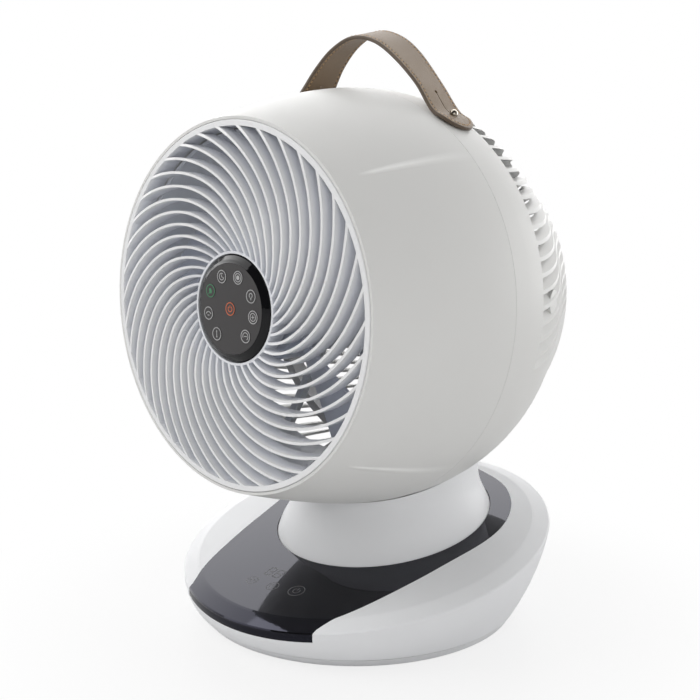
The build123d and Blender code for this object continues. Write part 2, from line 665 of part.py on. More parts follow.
def make_tilt_bracket():
    x1 = tilt_motor_x() - 0.02
    y = tilt_pinion_y()
    y0 = FLANGE_Y + FLANGE_WALL + STRUT_DEPTH
    plate = block(x1 - BRACKET_WALL, x1, y0, y + 8, HEAD_Z - BRACKET_HALF, HEAD_Z + BRACKET_HALF)
    plate += block(x1 - BRACKET_WALL, x1 + 12, y0, y0 + 2, HEAD_Z - BRACKET_HALF, HEAD_Z + BRACKET_HALF)
    plate -= cyl_x(4.0, x1 - 5, x1 + 5, y)
    for side in (-1, 1):
        plate -= cyl_y(CLEARANCE_R, y0 - 1, y0 + 4, x1 + BRACKET_SCREW_X, HEAD_Z + side * BRACKET_SCREW_Z)
        plate -= cyl_x(CLEARANCE_R, x1 - 5, x1 + 5, y, HEAD_Z + side * TILT_MOTOR_SCREW_Z)
    return plate


def make_bracket_screws():
    y0 = FLANGE_Y + FLANGE_WALL + STRUT_DEPTH + 2.02
    x1 = tilt_motor_x()
    parts = []
    for side in (-1, 1):
        z = HEAD_Z + side * BRACKET_SCREW_Z
        parts.append(screw_y(x1 + BRACKET_SCREW_X - 0.02, z, y0, -7.5, 2.6))
        z = HEAD_Z + side * TILT_MOTOR_SCREW_Z
        shank = cyl_x(1.4, x1 - BRACKET_WALL - 1.5, x1 + 1.1, tilt_pinion_y(), z)
        parts.append(shank + cyl_x(2.6, x1 + 1.02, x1 + 2.6, tilt_pinion_y(), z))
    return Compound(parts)


# ---------------------------------------------------------------- remote

def make_remote_case():
    y0 = REMOTE_BACK_Y
    y1 = REMOTE_BACK_Y - REMOTE_DEPTH
    rim = REMOTE_BACK_Y - REMOTE_RIM_DEPTH
    case = lathe_y([(y0, 0), (y0, REMOTE_R - 1.4), (y0 - 0.9, REMOTE_R - 0.3), (y0 - 2.4, REMOTE_R),
                    (rim, REMOTE_R), (rim - 1.3, REMOTE_R - 0.5), (rim - 3.1, REMOTE_FACE_R + 2.2),
                    (y1 + 0.3, REMOTE_FACE_R + 0.7), (y1, REMOTE_FACE_R + 0.1),
                    (y1 + 1.9, REMOTE_FACE_R + 0.1), (y1 + 1.9, REMOTE_FACE_R - 1.6),
                    (y0 - REMOTE_WALL, REMOTE_FACE_R - 1.6), (y0 - REMOTE_WALL, 0)])
    return case - cyl_y(DOOR_R + 0.2, y0 - 5, y0 + 5)


def make_remote_face():
    y1 = REMOTE_BACK_Y - REMOTE_DEPTH
    face = cyl_y(REMOTE_FACE_R, y1, y1 + 1.8)
    for x, z in key_places().values():
        face -= cyl_y(KEY_R + KEY_GAP, y1 - 1, y1 + 3, x, HEAD_Z + z)
    return face


def key_places():
    places = {"key_power": (0.0, 0.0)}
    for name, angle in KEY_ANGLES.items():
        places[name] = polar(KEY_RING_R, angle)
    return places


def make_key(x, z):
    y1 = REMOTE_BACK_Y - REMOTE_DEPTH
    cap = cyl_y(KEY_R, y1 - KEY_PROUD, y1 + 2.6, x, HEAD_Z + z)
    return cap + cyl_y(KEY_R + 0.9, y1 + 1.95, y1 + 2.6, x, HEAD_Z + z)


def make_remote_board():
    y = REMOTE_BACK_Y - REMOTE_DEPTH + 2.6 + KEY_TRAVEL + 0.3
    return cyl_y(REMOTE_FACE_R - 1.9, y, y + 1.0)


def make_remote_cell():
    return cyl_y(CELL_R, REMOTE_BACK_Y - 4.5, REMOTE_BACK_Y - 1.4)


def make_cell_door():
    y0 = REMOTE_BACK_Y
    door = cyl_y(DOOR_R, y0 - 1.2, y0)
    return door - block(-6, 6, y0 - 0.6, y0 + 1, HEAD_Z - 0.9, HEAD_Z + 0.9)


def make_remote_plate():
    y0 = REMOTE_BACK_Y - REMOTE_WALL
    return cyl_y(PLATE_R, y0 - 0.8, y0) - cyl_y(DOOR_R + 0.6, y0 - 3, y0 + 3)


# ---------------------------------------------------------------- strap

def strap_radius():
    mid = (STRAP_FRONT_Y + STRAP_BACK_Y) / 2
    return line_radius(head_line(-100.0, 100.0), mid) + 0.9


def strap_path(crest):
    """Middle line of the strap, seen from the front, from its left tail to its right tail."""
    r = strap_radius() + STRAP_THICKNESS / 2
    pts = []
    for angle in (STRAP_LEFT_LIFT - STRAP_TAIL, STRAP_LEFT_LIFT - STRAP_TAIL / 2, STRAP_LEFT_LIFT):
        pts.append((r * sin(radians(angle)), r * cos(radians(angle))))
    half = STRAP_THICKNESS / 2
    pts += [(x, z - half) for x, z in crest]
    for angle in (STRAP_RIGHT_LIFT, STRAP_RIGHT_LIFT + STRAP_TAIL / 2, STRAP_RIGHT_LIFT + STRAP_TAIL):
        pts.append((r * sin(radians(angle)), r * cos(radians(angle))))
    return pts


def strap_section(crest, y):
    """The strap's cut face on one of its long edges."""
    path = strap_path(crest)
    top = [Vector(x, y, HEAD_Z + z) for x, z in offset_line(path, STRAP_THICKNESS / 2)]
    low = [Vector(x, y, HEAD_Z + z) for x, z in offset_line(path, -STRAP_THICKNESS / 2)]
    wire = Wire([Edge.make_spline(top), Edge.make_line(top[-1], low[-1]),
                 Edge.make_spline(low), Edge.make_line(low[0], top[0])])
    return Face(wire)


def offset_line(pts, d):
    out = []
    for i, (x, z) in enumerate(pts):
        xa, za = pts[max(0, i - 1)]
        xb, zb = pts[min(len(pts) - 1, i + 1)]
        n = hypot(xb - xa, zb - za)
        out.append((x - (zb - za) / n * d, z + (xb - xa) / n * d))
    return out


def make_strap():
    edges = [strap_section(STRAP_FRONT_CREST, STRAP_FRONT_Y), strap_section(STRAP_BACK_CREST, STRAP_BACK_Y)]
    band = loft(edges, ruled=True)
    for angle in stud_angles():
        band -= at_stud(Cylinder(STUD_POST_R + 0.25, 20), angle)
    for tail in (STRAP_LEFT_LIFT - STRAP_TAIL, STRAP_RIGHT_LIFT + STRAP_TAIL):
        band &= tail_keeper(tail)
    return band


def tail_keeper(angle):
    """Everything except what lies outside the strap's rounded tail."""
    half = (STRAP_BACK_Y - STRAP_FRONT_Y) / 2
    mid = (STRAP_BACK_Y + STRAP_FRONT_Y) / 2
    r = strap_radius()
    inner = degrees(half / r)
    sign = 1 if angle > 0 else -1
    centre = angle - sign * inner
    corner = block(0, sign * (half + 2), -half - 2, half + 2, r - 12, r + 12)
    corner -= Pos(0, 0, r) * Cylinder(half, 60)
    corner = Pos(0, mid, HEAD_Z) * Rot(0, centre, 0) * corner
    return block(-220, 220, -60, 60, HEAD_Z, HEAD_Z + 260) - corner


def stud_angles():
    """The studs sit on the tails, a little further out than where the strap leaves the head."""
    return [STRAP_LEFT_LIFT - STUD_SHIFT, STRAP_RIGHT_LIFT + STUD_SHIFT]


def at_stud(shape, angle):
    """Carry a shape made about Z at the origin out to the head's surface at an angle from upright."""
    mid = (STRAP_BACK_Y + STRAP_FRONT_Y) / 2
    return Pos(0, mid, HEAD_Z) * Rot(0, angle, 0) * Pos(0, 0, strap_radius()) * shape


def make_strap_studs():
    """Domed studs whose posts stand in the rear housing."""
    crown = STRAP_THICKNESS + STUD_RISE
    post = Pos(0, 0, (crown - STUD_POST_DEPTH) / 2) * Cylinder(STUD_POST_R, crown + STUD_POST_DEPTH)
    under = STRAP_THICKNESS + STUD_UNDERSIDE
    dome = Pos(0, 0, crown) * Sphere(STUD_R) - block(-9, 9, -9, 9, under - 9, under)
    return Compound([at_stud(post + dome, angle) for angle in stud_angles()])


# ---------------------------------------------------------------- neck and pan drive

def neck_lathe(grow, z0=30.0, z1=140.0):
    """Solid turned from the neck's outline, grown outwards by a clearance."""
    pts = [Vector(r + grow, PAN_Y, z) for z, r in NECK_OUTLINE]
    low = Vector(pts[0].X, PAN_Y, z0 - 1)
    high = Vector(pts[-1].X, PAN_Y, z1 + 1)
    a = Vector(0, PAN_Y, z0 - 1)
    b = Vector(0, PAN_Y, z1 + 1)
    wire = Wire([Edge.make_line(a, low), Edge.make_line(low, pts[0]),
                 Edge.make_spline(pts, tangents=[(0, 0, 1), (0, 0, 1)]),
                 Edge.make_line(pts[-1], high), Edge.make_line(high, b), Edge.make_line(b, a)])
    body = revolve(Face(wire), axis=Axis((0, PAN_Y, 0), (0, 0, 1)), revolution_arc=360)
    return body & block(-200, 200, -200, 200, z0, z1)


def make_neck():
    """Hollow neck with a dished, closed top that follows the head's underside."""
    neck = neck_lathe(0.0, NECK_FLANGE_Z, 122.0) - head_solid(HEAD_GAP)
    neck -= neck_lathe(-NECK_WALL, NECK_FLANGE_Z + 3.0, 122.0) - head_solid(HEAD_GAP + NECK_WALL)
    neck -= cyl_z(NECK_FLANGE_INNER_R, NECK_FLANGE_Z - 1, NECK_FLANGE_Z + 4)
    neck += block(-18, 18, PAN_Y - 13, PAN_Y + 13, STEM_FOOT_Z - 4, 110) - head_solid(HEAD_GAP)
    half_x = STEM_X / 2 + 0.1
    half_y = STEM_Y / 2 + 0.1
    neck -= block(-half_x, half_x, PAN_Y - half_y, PAN_Y + half_y, STEM_FOOT_Z, STEM_FOOT_Z + 40)
    for x in (-STEM_SCREW_X, STEM_SCREW_X):
        neck -= cyl_z(CLEARANCE_R, STEM_FOOT_Z - 20, STEM_FOOT_Z + 1, x)
    for x, y in turntable_screw_places():
        neck -= cyl_z(PILOT_R, NECK_FLANGE_Z - 1, NECK_FLANGE_Z + 4, x, PAN_Y + y)
    return neck


def turntable_screw_places():
    return ring_places(TURNTABLE_SCREW_R, TURNTABLE_SCREW_COUNT, 45)


def make_stem_screws():
    parts = []
    z0 = STEM_FOOT_Z - 4
    for x in (-STEM_SCREW_X, STEM_SCREW_X):
        parts.append(cyl_z(1.4, z0 - 0.1, STEM_FOOT_Z + 11, x) + cyl_z(3.0, z0 - 1.8, z0, x))
    return Compound(parts)


def make_turntable():
    disc = cyl_z(TURNTABLE_R, TURNTABLE_Z, NECK_FLANGE_Z - 0.02)
    disc += cyl_z(15.0, TURNTABLE_Z, TURNTABLE_Z + 5)
    disc -= cyl_z(SPINDLE_R + RUN_GAP, 0, 60)
    for x, y in turntable_screw_places():
        disc -= cyl_z(CLEARANCE_R, 30, 40, x, PAN_Y + y)
    return disc


def make_turntable_screws():
    parts = []
    for x, y in turntable_screw_places():
        shank = cyl_z(1.4, TURNTABLE_Z - 0.1, NECK_FLANGE_Z + 2.8, x, PAN_Y + y)
        parts.append(shank + cyl_z(2.8, TURNTABLE_Z - 1.6, TURNTABLE_Z, x, PAN_Y + y))
    return Compound(parts)


def make_pan_gear():
    wheel = spur_gear(PAN_MODULE, PAN_GEAR_TEETH, 6.0, SPINDLE_R + RUN_GAP, phase=PAN_MOTOR_ANGLE)
    gear = Pos(0, PAN_Y, PAN_GEAR_Z + 3.0) * wheel
    return gear + (cyl_z(16.0, PAN_GEAR_Z + 3, TURNTABLE_Z - 0.05) - cyl_z(SPINDLE_R + RUN_GAP, 0, 60))


def pan_pinion_place():
    d = PAN_MODULE * (PAN_GEAR_TEETH + PAN_PINION_TEETH) / 2 + 0.15
    x, y = polar(d, PAN_MOTOR_ANGLE)
    return x, PAN_Y + y


def make_pan_pinion():
    x, y = pan_pinion_place()
    phase = PAN_MOTOR_ANGLE + 180.0 + 180.0 / PAN_PINION_TEETH
    wheel = spur_gear(PAN_MODULE, PAN_PINION_TEETH, 6.0, 1.0, phase=phase)
    return Pos(x, y, PAN_GEAR_Z + 3.0) * wheel + cyl_z(2.0, PAN_GEAR_Z - 14, PAN_GEAR_Z + 6, x, y)


def make_pan_motor():
    x, y = pan_pinion_place()
    top = PAN_GEAR_Z - 2.0
    can = cyl_z(PAN_MOTOR_R, COVER_TOP_Z + 0.02, top, x, y)
    return can - cyl_z(2.0 + RUN_GAP, top - 13, top + 1, x, y)


def make_pan_spindle():
    post = cyl_z(SPINDLE_R, COVER_TOP_Z + 0.02, 43.0) + cyl_z(17.0, COVER_TOP_Z + 0.02, COVER_TOP_Z + 4)
    return post - cyl_z(6.0, COVER_TOP_Z - 1, 50)


def make_pan_clip():
    z0 = TURNTABLE_Z + 5.1
    return cyl_z(13.5, z0, z0 + 1.4) - cyl_z(SPINDLE_R + 0.02, z0 - 1, z0 + 3)


def make_glide_ring():
    z0 = TURNTABLE_Z - 0.1 - GLIDE_HEIGHT
    return cyl_z(TRACK_R, z0, z0 + GLIDE_HEIGHT) - cyl_z(TRACK_R - TRACK_WALL, z0 - 1, z0 + 9)


# ---------------------------------------------------------------- base

def base_solid(inset, z0):
    """The base's outside as a solid, moved inwards by inset, from about height z0 up."""
    sections = []
    for k in range(5):
        v = k / 4
        grow = v + WALL_BULGE * v * (1 - v)
        ring = Circle(BOTTOM_R + (RIM_R - BOTTOM_R) * grow - inset)
        level = Pos(0, RIM_Y * v, z0 + (RIM_Z - z0) * v) * Rot(SLOPE * v, 0, 0)
        sections.append(level * Pos(0, 0, -1.5 * v) * ring)
    wall = loft(sections)
    d = inset
    soft = 0.35 * (1 - 0.19 * d)
    inner_r = RIM_R - SHOULDER
    pts = [(-1.5, 0), (-1.5, RIM_R - d), (-0.4 - d * 0.2, RIM_R - 0.1 - d),
           (0.35 - d * 0.34, RIM_R - 0.9 - d), (TOP_RISE - d - soft, inner_r + 1.3 - d * 0.6),
           (TOP_RISE - d, inner_r - 0.4 - d * 0.5), (TOP_RISE - d, 0)]
    cap_pts = [Vector(r, 0, z) for z, r in pts]
    cap = revolve(Face(Wire.make_polygon(cap_pts, close=True)), axis=Axis.Z, revolution_arc=360)
    return wall + on_slope(cap)


def lens_prism(grow):
    """Upright prism through the black panel's outline, its lower edge level with the rim's slope."""
    side = [Vector(x + grow, y, 0) for x, y in LENS_EDGE]
    start = Vector(side[0].X - 3, -160, 0)
    arc = []
    for a in range(-12, 91, 17):
        x = (LENS_RING_X + grow) * cos(radians(a))
        arc.append(Vector(x, LENS_MIDDLE_Y + (LENS_RING_Y + grow) * sin(radians(a)), 0))
    arc[-1] = Vector(0, LENS_MIDDLE_Y + LENS_RING_Y + grow, 0)
    curve = side + arc
    mirror = [Vector(-p.X, p.Y, 0) for p in curve]
    left_start = Vector(-start.X, -160, 0)
    wire = Wire([Edge.make_line(left_start, start), Edge.make_line(start, curve[0]),
                 Edge.make_spline(curve, tangents=[(0.36, 1, 0), (-1, 0, 0)]),
                 Edge.make_spline(mirror, tangents=[(-0.36, 1, 0), (1, 0, 0)]),
                 Edge.make_line(mirror[0], left_start)])
    prism = extrude(Face(wire), amount=140, dir=(0, 0, 1))
    keep = on_slope(Pos(0, 0, 100 - LENS_DROP - grow) * Box(500, 500, 200))
    return prism & keep


def cover_screw_places():
    return [polar(COVER_SCREW_R, a) for a in (-20.0, -76.0, -104.0, -160.0)]


def make_base_shell():
    z0 = COVER_TOP_Z + COVER_SEAM
    shell = base_solid(0.0, 0.0) - base_solid(BASE_WALL, 0.0)
    shell -= block(-200, 200, -200, 200, -20, z0)
    for x, y in cover_screw_places():
        shell += cyl_z(4.5, z0, 60, x, y) & base_solid(1.0, 0.0)
    shell -= lens_prism(LENS_GAP) - base_solid(LENS_WALL + LENS_GAP, 0.0)
    shell -= neck_lathe(NECK_GAP, NECK_FLANGE_Z - NECK_GAP)
    shell -= cyl_z(TURNTABLE_R + NECK_GAP, TURNTABLE_Z - NECK_GAP, NECK_FLANGE_Z, 0, PAN_Y)
    for x, y in cover_screw_places():
        shell -= cyl_z(PILOT_R, z0 - 1, z0 + 12, x, y)
    shell -= block(-9, 9, JACK_FACE_Y, 140, JACK_Z - 7, JACK_Z + 7)
    shell -= cyl_y(JACK_R + 0.1, 100, 140, 0, JACK_Z)
    return shell


def make_control_panel():
    lens = base_solid(0.0, 0.0) & lens_prism(0.0)
    lens -= base_solid(LENS_WALL, 0.0)
    lens -= neck_lathe(NECK_GAP, 20.0)
    return lens


def make_base_cover():
    cover = base_solid(0.2, 0.0) & block(-200, 200, -200, 200, COVER_UNDER_Z, COVER_TOP_Z)
    cover -= cyl_z(BOTTOM_R - 8.0, COVER_UNDER_Z + COVER_FLOOR, 20, 0, 0)
    track_top = TURNTABLE_Z - 0.12 - GLIDE_HEIGHT
    cover += cyl_z(TRACK_R, COVER_UNDER_Z + 1, track_top) - cyl_z(TRACK_R - TRACK_WALL, 0, 60)
    cover += cyl_z(TRACK_R - 1, COVER_UNDER_Z + 1, COVER_TOP_Z)
    for x, y in cover_screw_places():
        cover += cyl_z(5.0, COVER_UNDER_Z + 1, COVER_TOP_Z, x, y)
        cover -= cyl_z(CLEARANCE_R, -1, 9, x, y)
        cover -= cyl_z(3.2, -1, COVER_UNDER_Z + 2.0, x, y)
    for x, y in foot_places():
        cover += cyl_z(FOOT_R + 2, COVER_UNDER_Z + 1, COVER_TOP_Z - 0.6, x, y)
        cover -= cyl_z(FOOT_R + 0.1, -1, COVER_UNDER_Z + 2.2, x, y)
    return cover


def foot_places():
    """One foot in the middle and the rest on a ring."""
    return [(0.0, 0.0)] + ring_places(FOOT_RING_R, FOOT_COUNT, 90)


def make_feet():
    return Compound([cyl_z(FOOT_R, 0, COVER_UNDER_Z + 2.18, x, y) for x, y in foot_places()])


def make_cover_screws():
    parts = []
    for x, y in cover_screw_places():
        top = COVER_UNDER_Z + 1.98
        parts.append(cyl_z(1.4, top - 0.1, top + 11, x, y) + cyl_z(2.9, top - 1.6, top, x, y))
    return Compound(parts)


def make_ballast():
    z0 = COVER_UNDER_Z + COVER_FLOOR + 0.02
    return block(-45, 45, -82, -34, z0, z0 + BALLAST_THICKNESS)


def make_main_board():
    top = BOARD_Z + BOARD_THICKNESS
    board = block(-45, 45, -78, -36, BOARD_Z, top)
    board += block(-30, -8, -70, -50, top - 0.1, top + 7.4)
    return board + block(8, 30, -66, -46, top - 0.1, top + 5.4)


def make_board_posts():
    z0 = COVER_UNDER_Z + COVER_FLOOR + 0.04 + BALLAST_THICKNESS
    return Compound([cyl_z(2.5, z0, BOARD_Z - 0.02, x, y) for x in (-40, 40) for y in (-74, -40)])


def make_panel_board():
    h = TOP_RISE - BASE_WALL - 0.3 - BOARD_THICKNESS / 2
    return on_slope(Pos(0, PANEL_BOARD_Y, h) * Box(70, 26, BOARD_THICKNESS))


def make_dc_inlet():
    barrel = cyl_y(JACK_R, 110.5, JACK_FACE_Y, 0, JACK_Z)
    barrel -= cyl_y(JACK_BORE_R, 112.5, JACK_FACE_Y + 1, 0, JACK_Z)
    return barrel + cyl_y(JACK_PIN_R, 112, JACK_FACE_Y - 1.0, 0, JACK_Z)


# ---------------------------------------------------------------- write

MAKERS = {
    "front_housing": make_front_housing,
    "rear_housing": make_rear_housing,
    "front_grille": make_front_grille,
    "grille_screws": make_grille_screws,
    "dock_magnet": make_dock_magnet,
    "duct_ring": make_duct_ring,
    "motor_mount": make_motor_mount,
    "mount_screws": make_mount_screws,
    "fan_motor": make_fan_motor,
    "motor_screws": make_motor_screws,
    "motor_shaft": make_motor_shaft,
    "impeller": make_impeller,
    "impeller_nut": make_impeller_nut,
    "tilt_yoke": make_tilt_yoke,
    "tilt_pins": make_tilt_pins,
    "tilt_gear": make_tilt_gear,
    "gear_screws": make_gear_screws,
    "tilt_pinion": make_tilt_pinion,
    "tilt_motor": make_tilt_motor,
    "tilt_bracket": make_tilt_bracket,
    "bracket_screws": make_bracket_screws,
    "remote_case": make_remote_case,
    "remote_face": make_remote_face,
    "remote_board": make_remote_board,
    "remote_cell": make_remote_cell,
    "cell_door": make_cell_door,
    "remote_plate": make_remote_plate,
    "strap_handle": make_strap,
    "strap_studs": make_strap_studs,
    "neck": make_neck,
    "stem_screws": make_stem_screws,
    "turntable": make_turntable,
    "turntable_screws": make_turntable_screws,
    "pan_gear": make_pan_gear,
    "pan_pinion": make_pan_pinion,
    "pan_motor": make_pan_motor,
    "pan_spindle": make_pan_spindle,
    "pan_clip": make_pan_clip,
    "glide_ring": make_glide_ring,
    "base_shell": make_base_shell,
    "control_panel": make_control_panel,
    "base_cover": make_base_cover,
    "rubber_feet": make_feet,
    "cover_screws": make_cover_screws,
    "ballast_plate": make_ballast,
    "main_board": make_main_board,
    "board_posts": make_board_posts,
    "panel_board": make_panel_board,
    "dc_inlet": make_dc_inlet,
}

os.makedirs("parts", exist_ok=True)
for name, maker in MAKERS.items():
    shape = maker()
    print(name, round(shape.volume, 1), len(shape.solids()), shape.is_valid)
    export_step(shape, f"parts/{name}.step")
for name, (kx, kz) in key_places().items():
    export_step(make_key(kx, kz), f"parts/{name}.step")
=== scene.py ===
"""Looks of a tabletop air circulator fan: finishes, leather strap, printed symbols and studio."""
import math

import bmesh
import bpy
from bpy.props import FloatProperty, FloatVectorProperty, PointerProperty
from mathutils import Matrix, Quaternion, Vector


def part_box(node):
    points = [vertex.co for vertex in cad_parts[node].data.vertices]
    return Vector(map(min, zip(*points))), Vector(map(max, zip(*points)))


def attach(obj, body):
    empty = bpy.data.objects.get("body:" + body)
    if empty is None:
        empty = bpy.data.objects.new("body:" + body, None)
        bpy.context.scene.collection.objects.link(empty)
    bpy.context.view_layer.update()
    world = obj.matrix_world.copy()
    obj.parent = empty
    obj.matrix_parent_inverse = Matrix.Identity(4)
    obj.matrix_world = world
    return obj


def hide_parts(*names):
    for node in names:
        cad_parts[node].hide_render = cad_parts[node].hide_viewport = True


bl_info = {
    "name": "Air Circulator Fan",
    "version": (1, 0, 0),
    "blender": (4, 5, 0),
    "location": "3D View > Sidebar > Circulator",
    "description": "Dresses the packed frame of a tabletop air circulator fan",
    "category": "Object",
}

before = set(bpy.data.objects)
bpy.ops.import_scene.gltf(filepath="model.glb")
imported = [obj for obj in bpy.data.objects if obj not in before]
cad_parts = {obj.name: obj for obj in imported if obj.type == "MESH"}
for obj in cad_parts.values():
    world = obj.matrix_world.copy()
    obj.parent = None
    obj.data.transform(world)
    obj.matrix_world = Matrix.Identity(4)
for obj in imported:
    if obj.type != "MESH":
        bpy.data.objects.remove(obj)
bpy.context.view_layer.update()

MM = 0.001

# ---- places read from the frame ----
HEAD_AXIS_Z = sum(corner.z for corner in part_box("key_power")) / 2
KEY_FACE_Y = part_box("key_power")[0].y
GRILLE_FRONT_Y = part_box("front_grille")[0].y
SEAM_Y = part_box("front_housing")[1].y
STRAP_LOW, STRAP_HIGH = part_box("strap_handle")

# ---- strap: run of its middle line, as x and height above the head's axis, in millimetres ----
STRAP_SEAT_RADIUS = 153.93
STRAP_TAIL_ANGLES = (-25.9, -21.55, -17.2)
STRAP_END_ANGLES = (32.0, 36.35, 40.7)
STUD_SHIFT = 2.9
STRAP_FRONT_CREST = [(-38.0, 153.7), (-24.0, 167.3), (-8.0, 178.9), (11.0, 184.9), (31.0, 180.7),
                     (49.7, 167.9), (69.0, 148.7)]
STRAP_BACK_CREST = [(-36.0, 156.2), (-25.0, 172.7), (-9.0, 186.7), (11.0, 193.1), (31.0, 187.0),
                    (48.0, 173.7), (67.0, 150.3)]

CHANNEL_FLOOR = 0.80

# ---- control panel: slope of the base's top ----
RIM_Y = 8.6
RIM_Z = 54.4
PANEL_SLOPE = math.radians(12.2)
PANEL_RISE = 3.7

# ---- soft creases of the front housing, as angles above the horizontal ----
CREASE_ANGLES = (math.radians(40.2), math.radians(-47.3))
CREASE_FRONT_Y = -0.108
CREASE_TIP = 0.012
CREASE_FULL = 0.030
# colour of the painted highlight that lightens the crease lines
CREASE_SHINE = (1.0, 1.0, 0.98, 1.0)

# ---- grille: its painted shade deepens between these depths behind its front ----
SHADE_START = 0.0012
SHADE_END = 0.0060

# ---- the bright backdrop lies beyond the fan, seen from the camera ----
BACKDROP_DIRECTION = (-0.66, 0.74, 0.12)

# ---- how the backdrop fades, by the cosine from its direction, and its dim side in mirrors ----
FADE_FROM = -0.2
FADE_TO = 0.6
MIRROR_DIM = 0.02

# ---- lamps: name, the property with its power, side of the square, place ----
LAMPS = (("key_lamp", "key_power", 1.3, (-0.96, -0.80, 1.20)),
         ("side_lamp", "side_power", 1.2, (1.50, -1.15, 0.35)),
         ("back_lamp", "back_power", 1.2, (1.03, 1.54, 0.45)))
FLOOR_GLOW = 0.78

# ---- camera ----
CAMERA_PLACE = (0.4869, -0.5457, 0.2931)
CAMERA_TARGET = (-0.0062, 0.0002, 0.19595)
CAMERA_ROLL = -0.54
CAMERA_LENS = 50.16

# ---- how strongly the white mouldings shine, and their roughness ----
SHELL_SHEEN = 0.15
SHELL_ROUGHNESS = 0.42


# ================================================================ sizes and colours

def tint(name, description, default):
    return FloatVectorProperty(name=name, description=description, subtype="COLOR", size=3, min=0, max=1,
                               default=default)


def length(name, description, default, least):
    return FloatProperty(name=name, description=description, subtype="DISTANCE", unit="LENGTH", default=default,
                         min=least)


def watts(name, description, default):
    return FloatProperty(name=name, description=description, subtype="POWER", unit="POWER",
                         default=default, min=0)


def strength(name, description, default):
    return FloatProperty(name=name, description=description, default=default, min=0)


class FAN_PG_shell(bpy.types.PropertyGroup):
    """White mouldings of the head, neck and base."""
    colour: tint("Housing colour", "Colour of the outer mouldings", (0.775, 0.772, 0.755))
    # base colour: lighter than the housing's white, as painted light that brightens the neck and base in the
    # head's shade
    base_colour: tint("Base colour", "Colour of the neck and base", (0.88, 0.886, 0.90))
    grille_colour: tint("Grille colour", "Colour of the front grille", (0.90, 0.90, 0.90))
    # rib shade: painted shade for the ribs' sides deep in the grille
    rib_shade: tint("Rib shade", "Tint of the ribs deep in the grille", (0.80, 0.815, 0.86))
    inner_colour: tint("Inner colour", "Colour of the duct and motor mount", (0.76, 0.78, 0.82))
    blade_colour: tint("Blade colour", "Colour of the impeller", (0.64, 0.67, 0.76))
    grain: length("Grain", "Depth of the moulded grain", 0.00003, 0)
    crease_width: length("Crease width", "Width of the creases at their front tips", 0.0016, 0.0005)
    crease_spread: length("Crease spread", "Width of the creases at the seam", 0.0055, 0.001)
    crease_depth: length("Crease depth", "Height of the creases", 0.0007, 0)


class FAN_PG_strap(bpy.types.PropertyGroup):
    """Leather carrying strap."""
    colour: tint("Leather colour", "Colour of the strap", (0.205, 0.142, 0.085))
    edge_colour: tint("Edge colour", "Painted cut edge of the strap", (0.12, 0.088, 0.062))
    # seam colour: painted shadow in the pressed channel under the thread
    seam_shadow_colour: tint("Seam colour", "Shade of the pressed channel under the thread", (0.045, 0.032, 0.022))
    thread_colour: tint("Thread colour", "Colour of the stitching", (0.50, 0.31, 0.15))
    thickness: length("Thickness", "Thickness of the leather", 0.0026, 0.001)
    stitch_inset: length("Stitch inset", "Distance of the seam from the edge", 0.0030, 0.001)
    stitch_pitch: length("Stitch pitch", "Distance from one stitch to the next", 0.0034, 0.001)
    stitch_length: length("Stitch length", "Length of thread that shows", 0.0021, 0.001)
    thread_radius: length("Thread radius", "Radius of the thread", 0.00048, 0.0001)
    slit_length: length("Slit length", "Slit that opens the stud hole", 0.0227, 0)
    slit_width: length("Slit width", "Width of the slit", 0.0008, 0.0001)
    hole_radius: length("Relief hole radius", "Round hole at the end of the slit", 0.0014, 0.0005)
    stud_hole_radius: length("Stud hole radius", "Hole around the stud's post", 0.0021, 0.001)


class FAN_PG_controls(bpy.types.PropertyGroup):
    """Remote, its keys and the panel on the base."""
    face_colour: tint("Face colour", "Charcoal face of the remote", (0.042, 0.039, 0.040))
    gloss_colour: tint("Gloss black", "Rim of the remote and the panel", (0.006, 0.006, 0.007))
    print_colour: tint("Symbol colour", "Printed key symbols", (0.50, 0.50, 0.50))
    power_colour: tint("Power colour", "Printed power symbol", (0.75, 0.17, 0.06))
    eco_colour: tint("Leaf colour", "Printed leaf symbol", (0.06, 0.27, 0.12))
    dim_colour: tint("Dim colour", "Unlit symbols under the panel's lens", (0.055, 0.055, 0.06))
    ring_radius: length("Ring radius", "Outer radius of a key's printed ring", 0.0044, 0.001)
    line_width: length("Line width", "Width of the printed lines", 0.00052, 0.0001)
    print_height: length("Print height", "Thickness of the printed ink", 0.00004, 0.00001)


class FAN_PG_studio(bpy.types.PropertyGroup):
    """Floor, light and camera."""
    floor_size: length("Floor size", "Length of the floor's side", 12.0, 1)
    floor_colour: tint("Floor colour", "Colour of the floor", (0.80, 0.80, 0.80))
    shadow_reach: length("Shadow reach", "Radius over which the floor keeps its shade", 0.34, 0.1)
    ambient: strength("Ambient light", "Strength of the light from the camera's side", 0.43)
    backdrop: strength("Backdrop light", "Strength of the light from the backdrop", 0.45)
    mirror: strength("Backdrop in mirrors", "Strength of the backdrop in polished surfaces", 3.1)
    floor_mirror: strength("Floor in mirrors", "Glow of the floor in polished surfaces", 0.25)
    key_power: watts("Key light", "Power of the large lamp at the upper left", 12.0)
    side_power: watts("Side light", "Power of the lamp at the right of the front", 7.5)
    back_power: watts("Back light", "Power of the lamp behind on the right", 10.0)
    lens: FloatProperty(name="Lens", description="Focal length of the camera, in millimetres",
                        default=CAMERA_LENS, min=10)


# ================================================================ material helpers

def add_node(tree, kind, inputs=None, **settings):
    """A node with its settings, and its inputs given as values or as other nodes' outputs."""
    node = tree.nodes.new(kind)
    for key, value in settings.items():
        setattr(node, key, value)
    for key, value in (inputs or {}).items():
        if isinstance(value, bpy.types.NodeSocket):
            tree.links.new(value, node.inputs[key])
        else:
            node.inputs[key].default_value = value
    return node


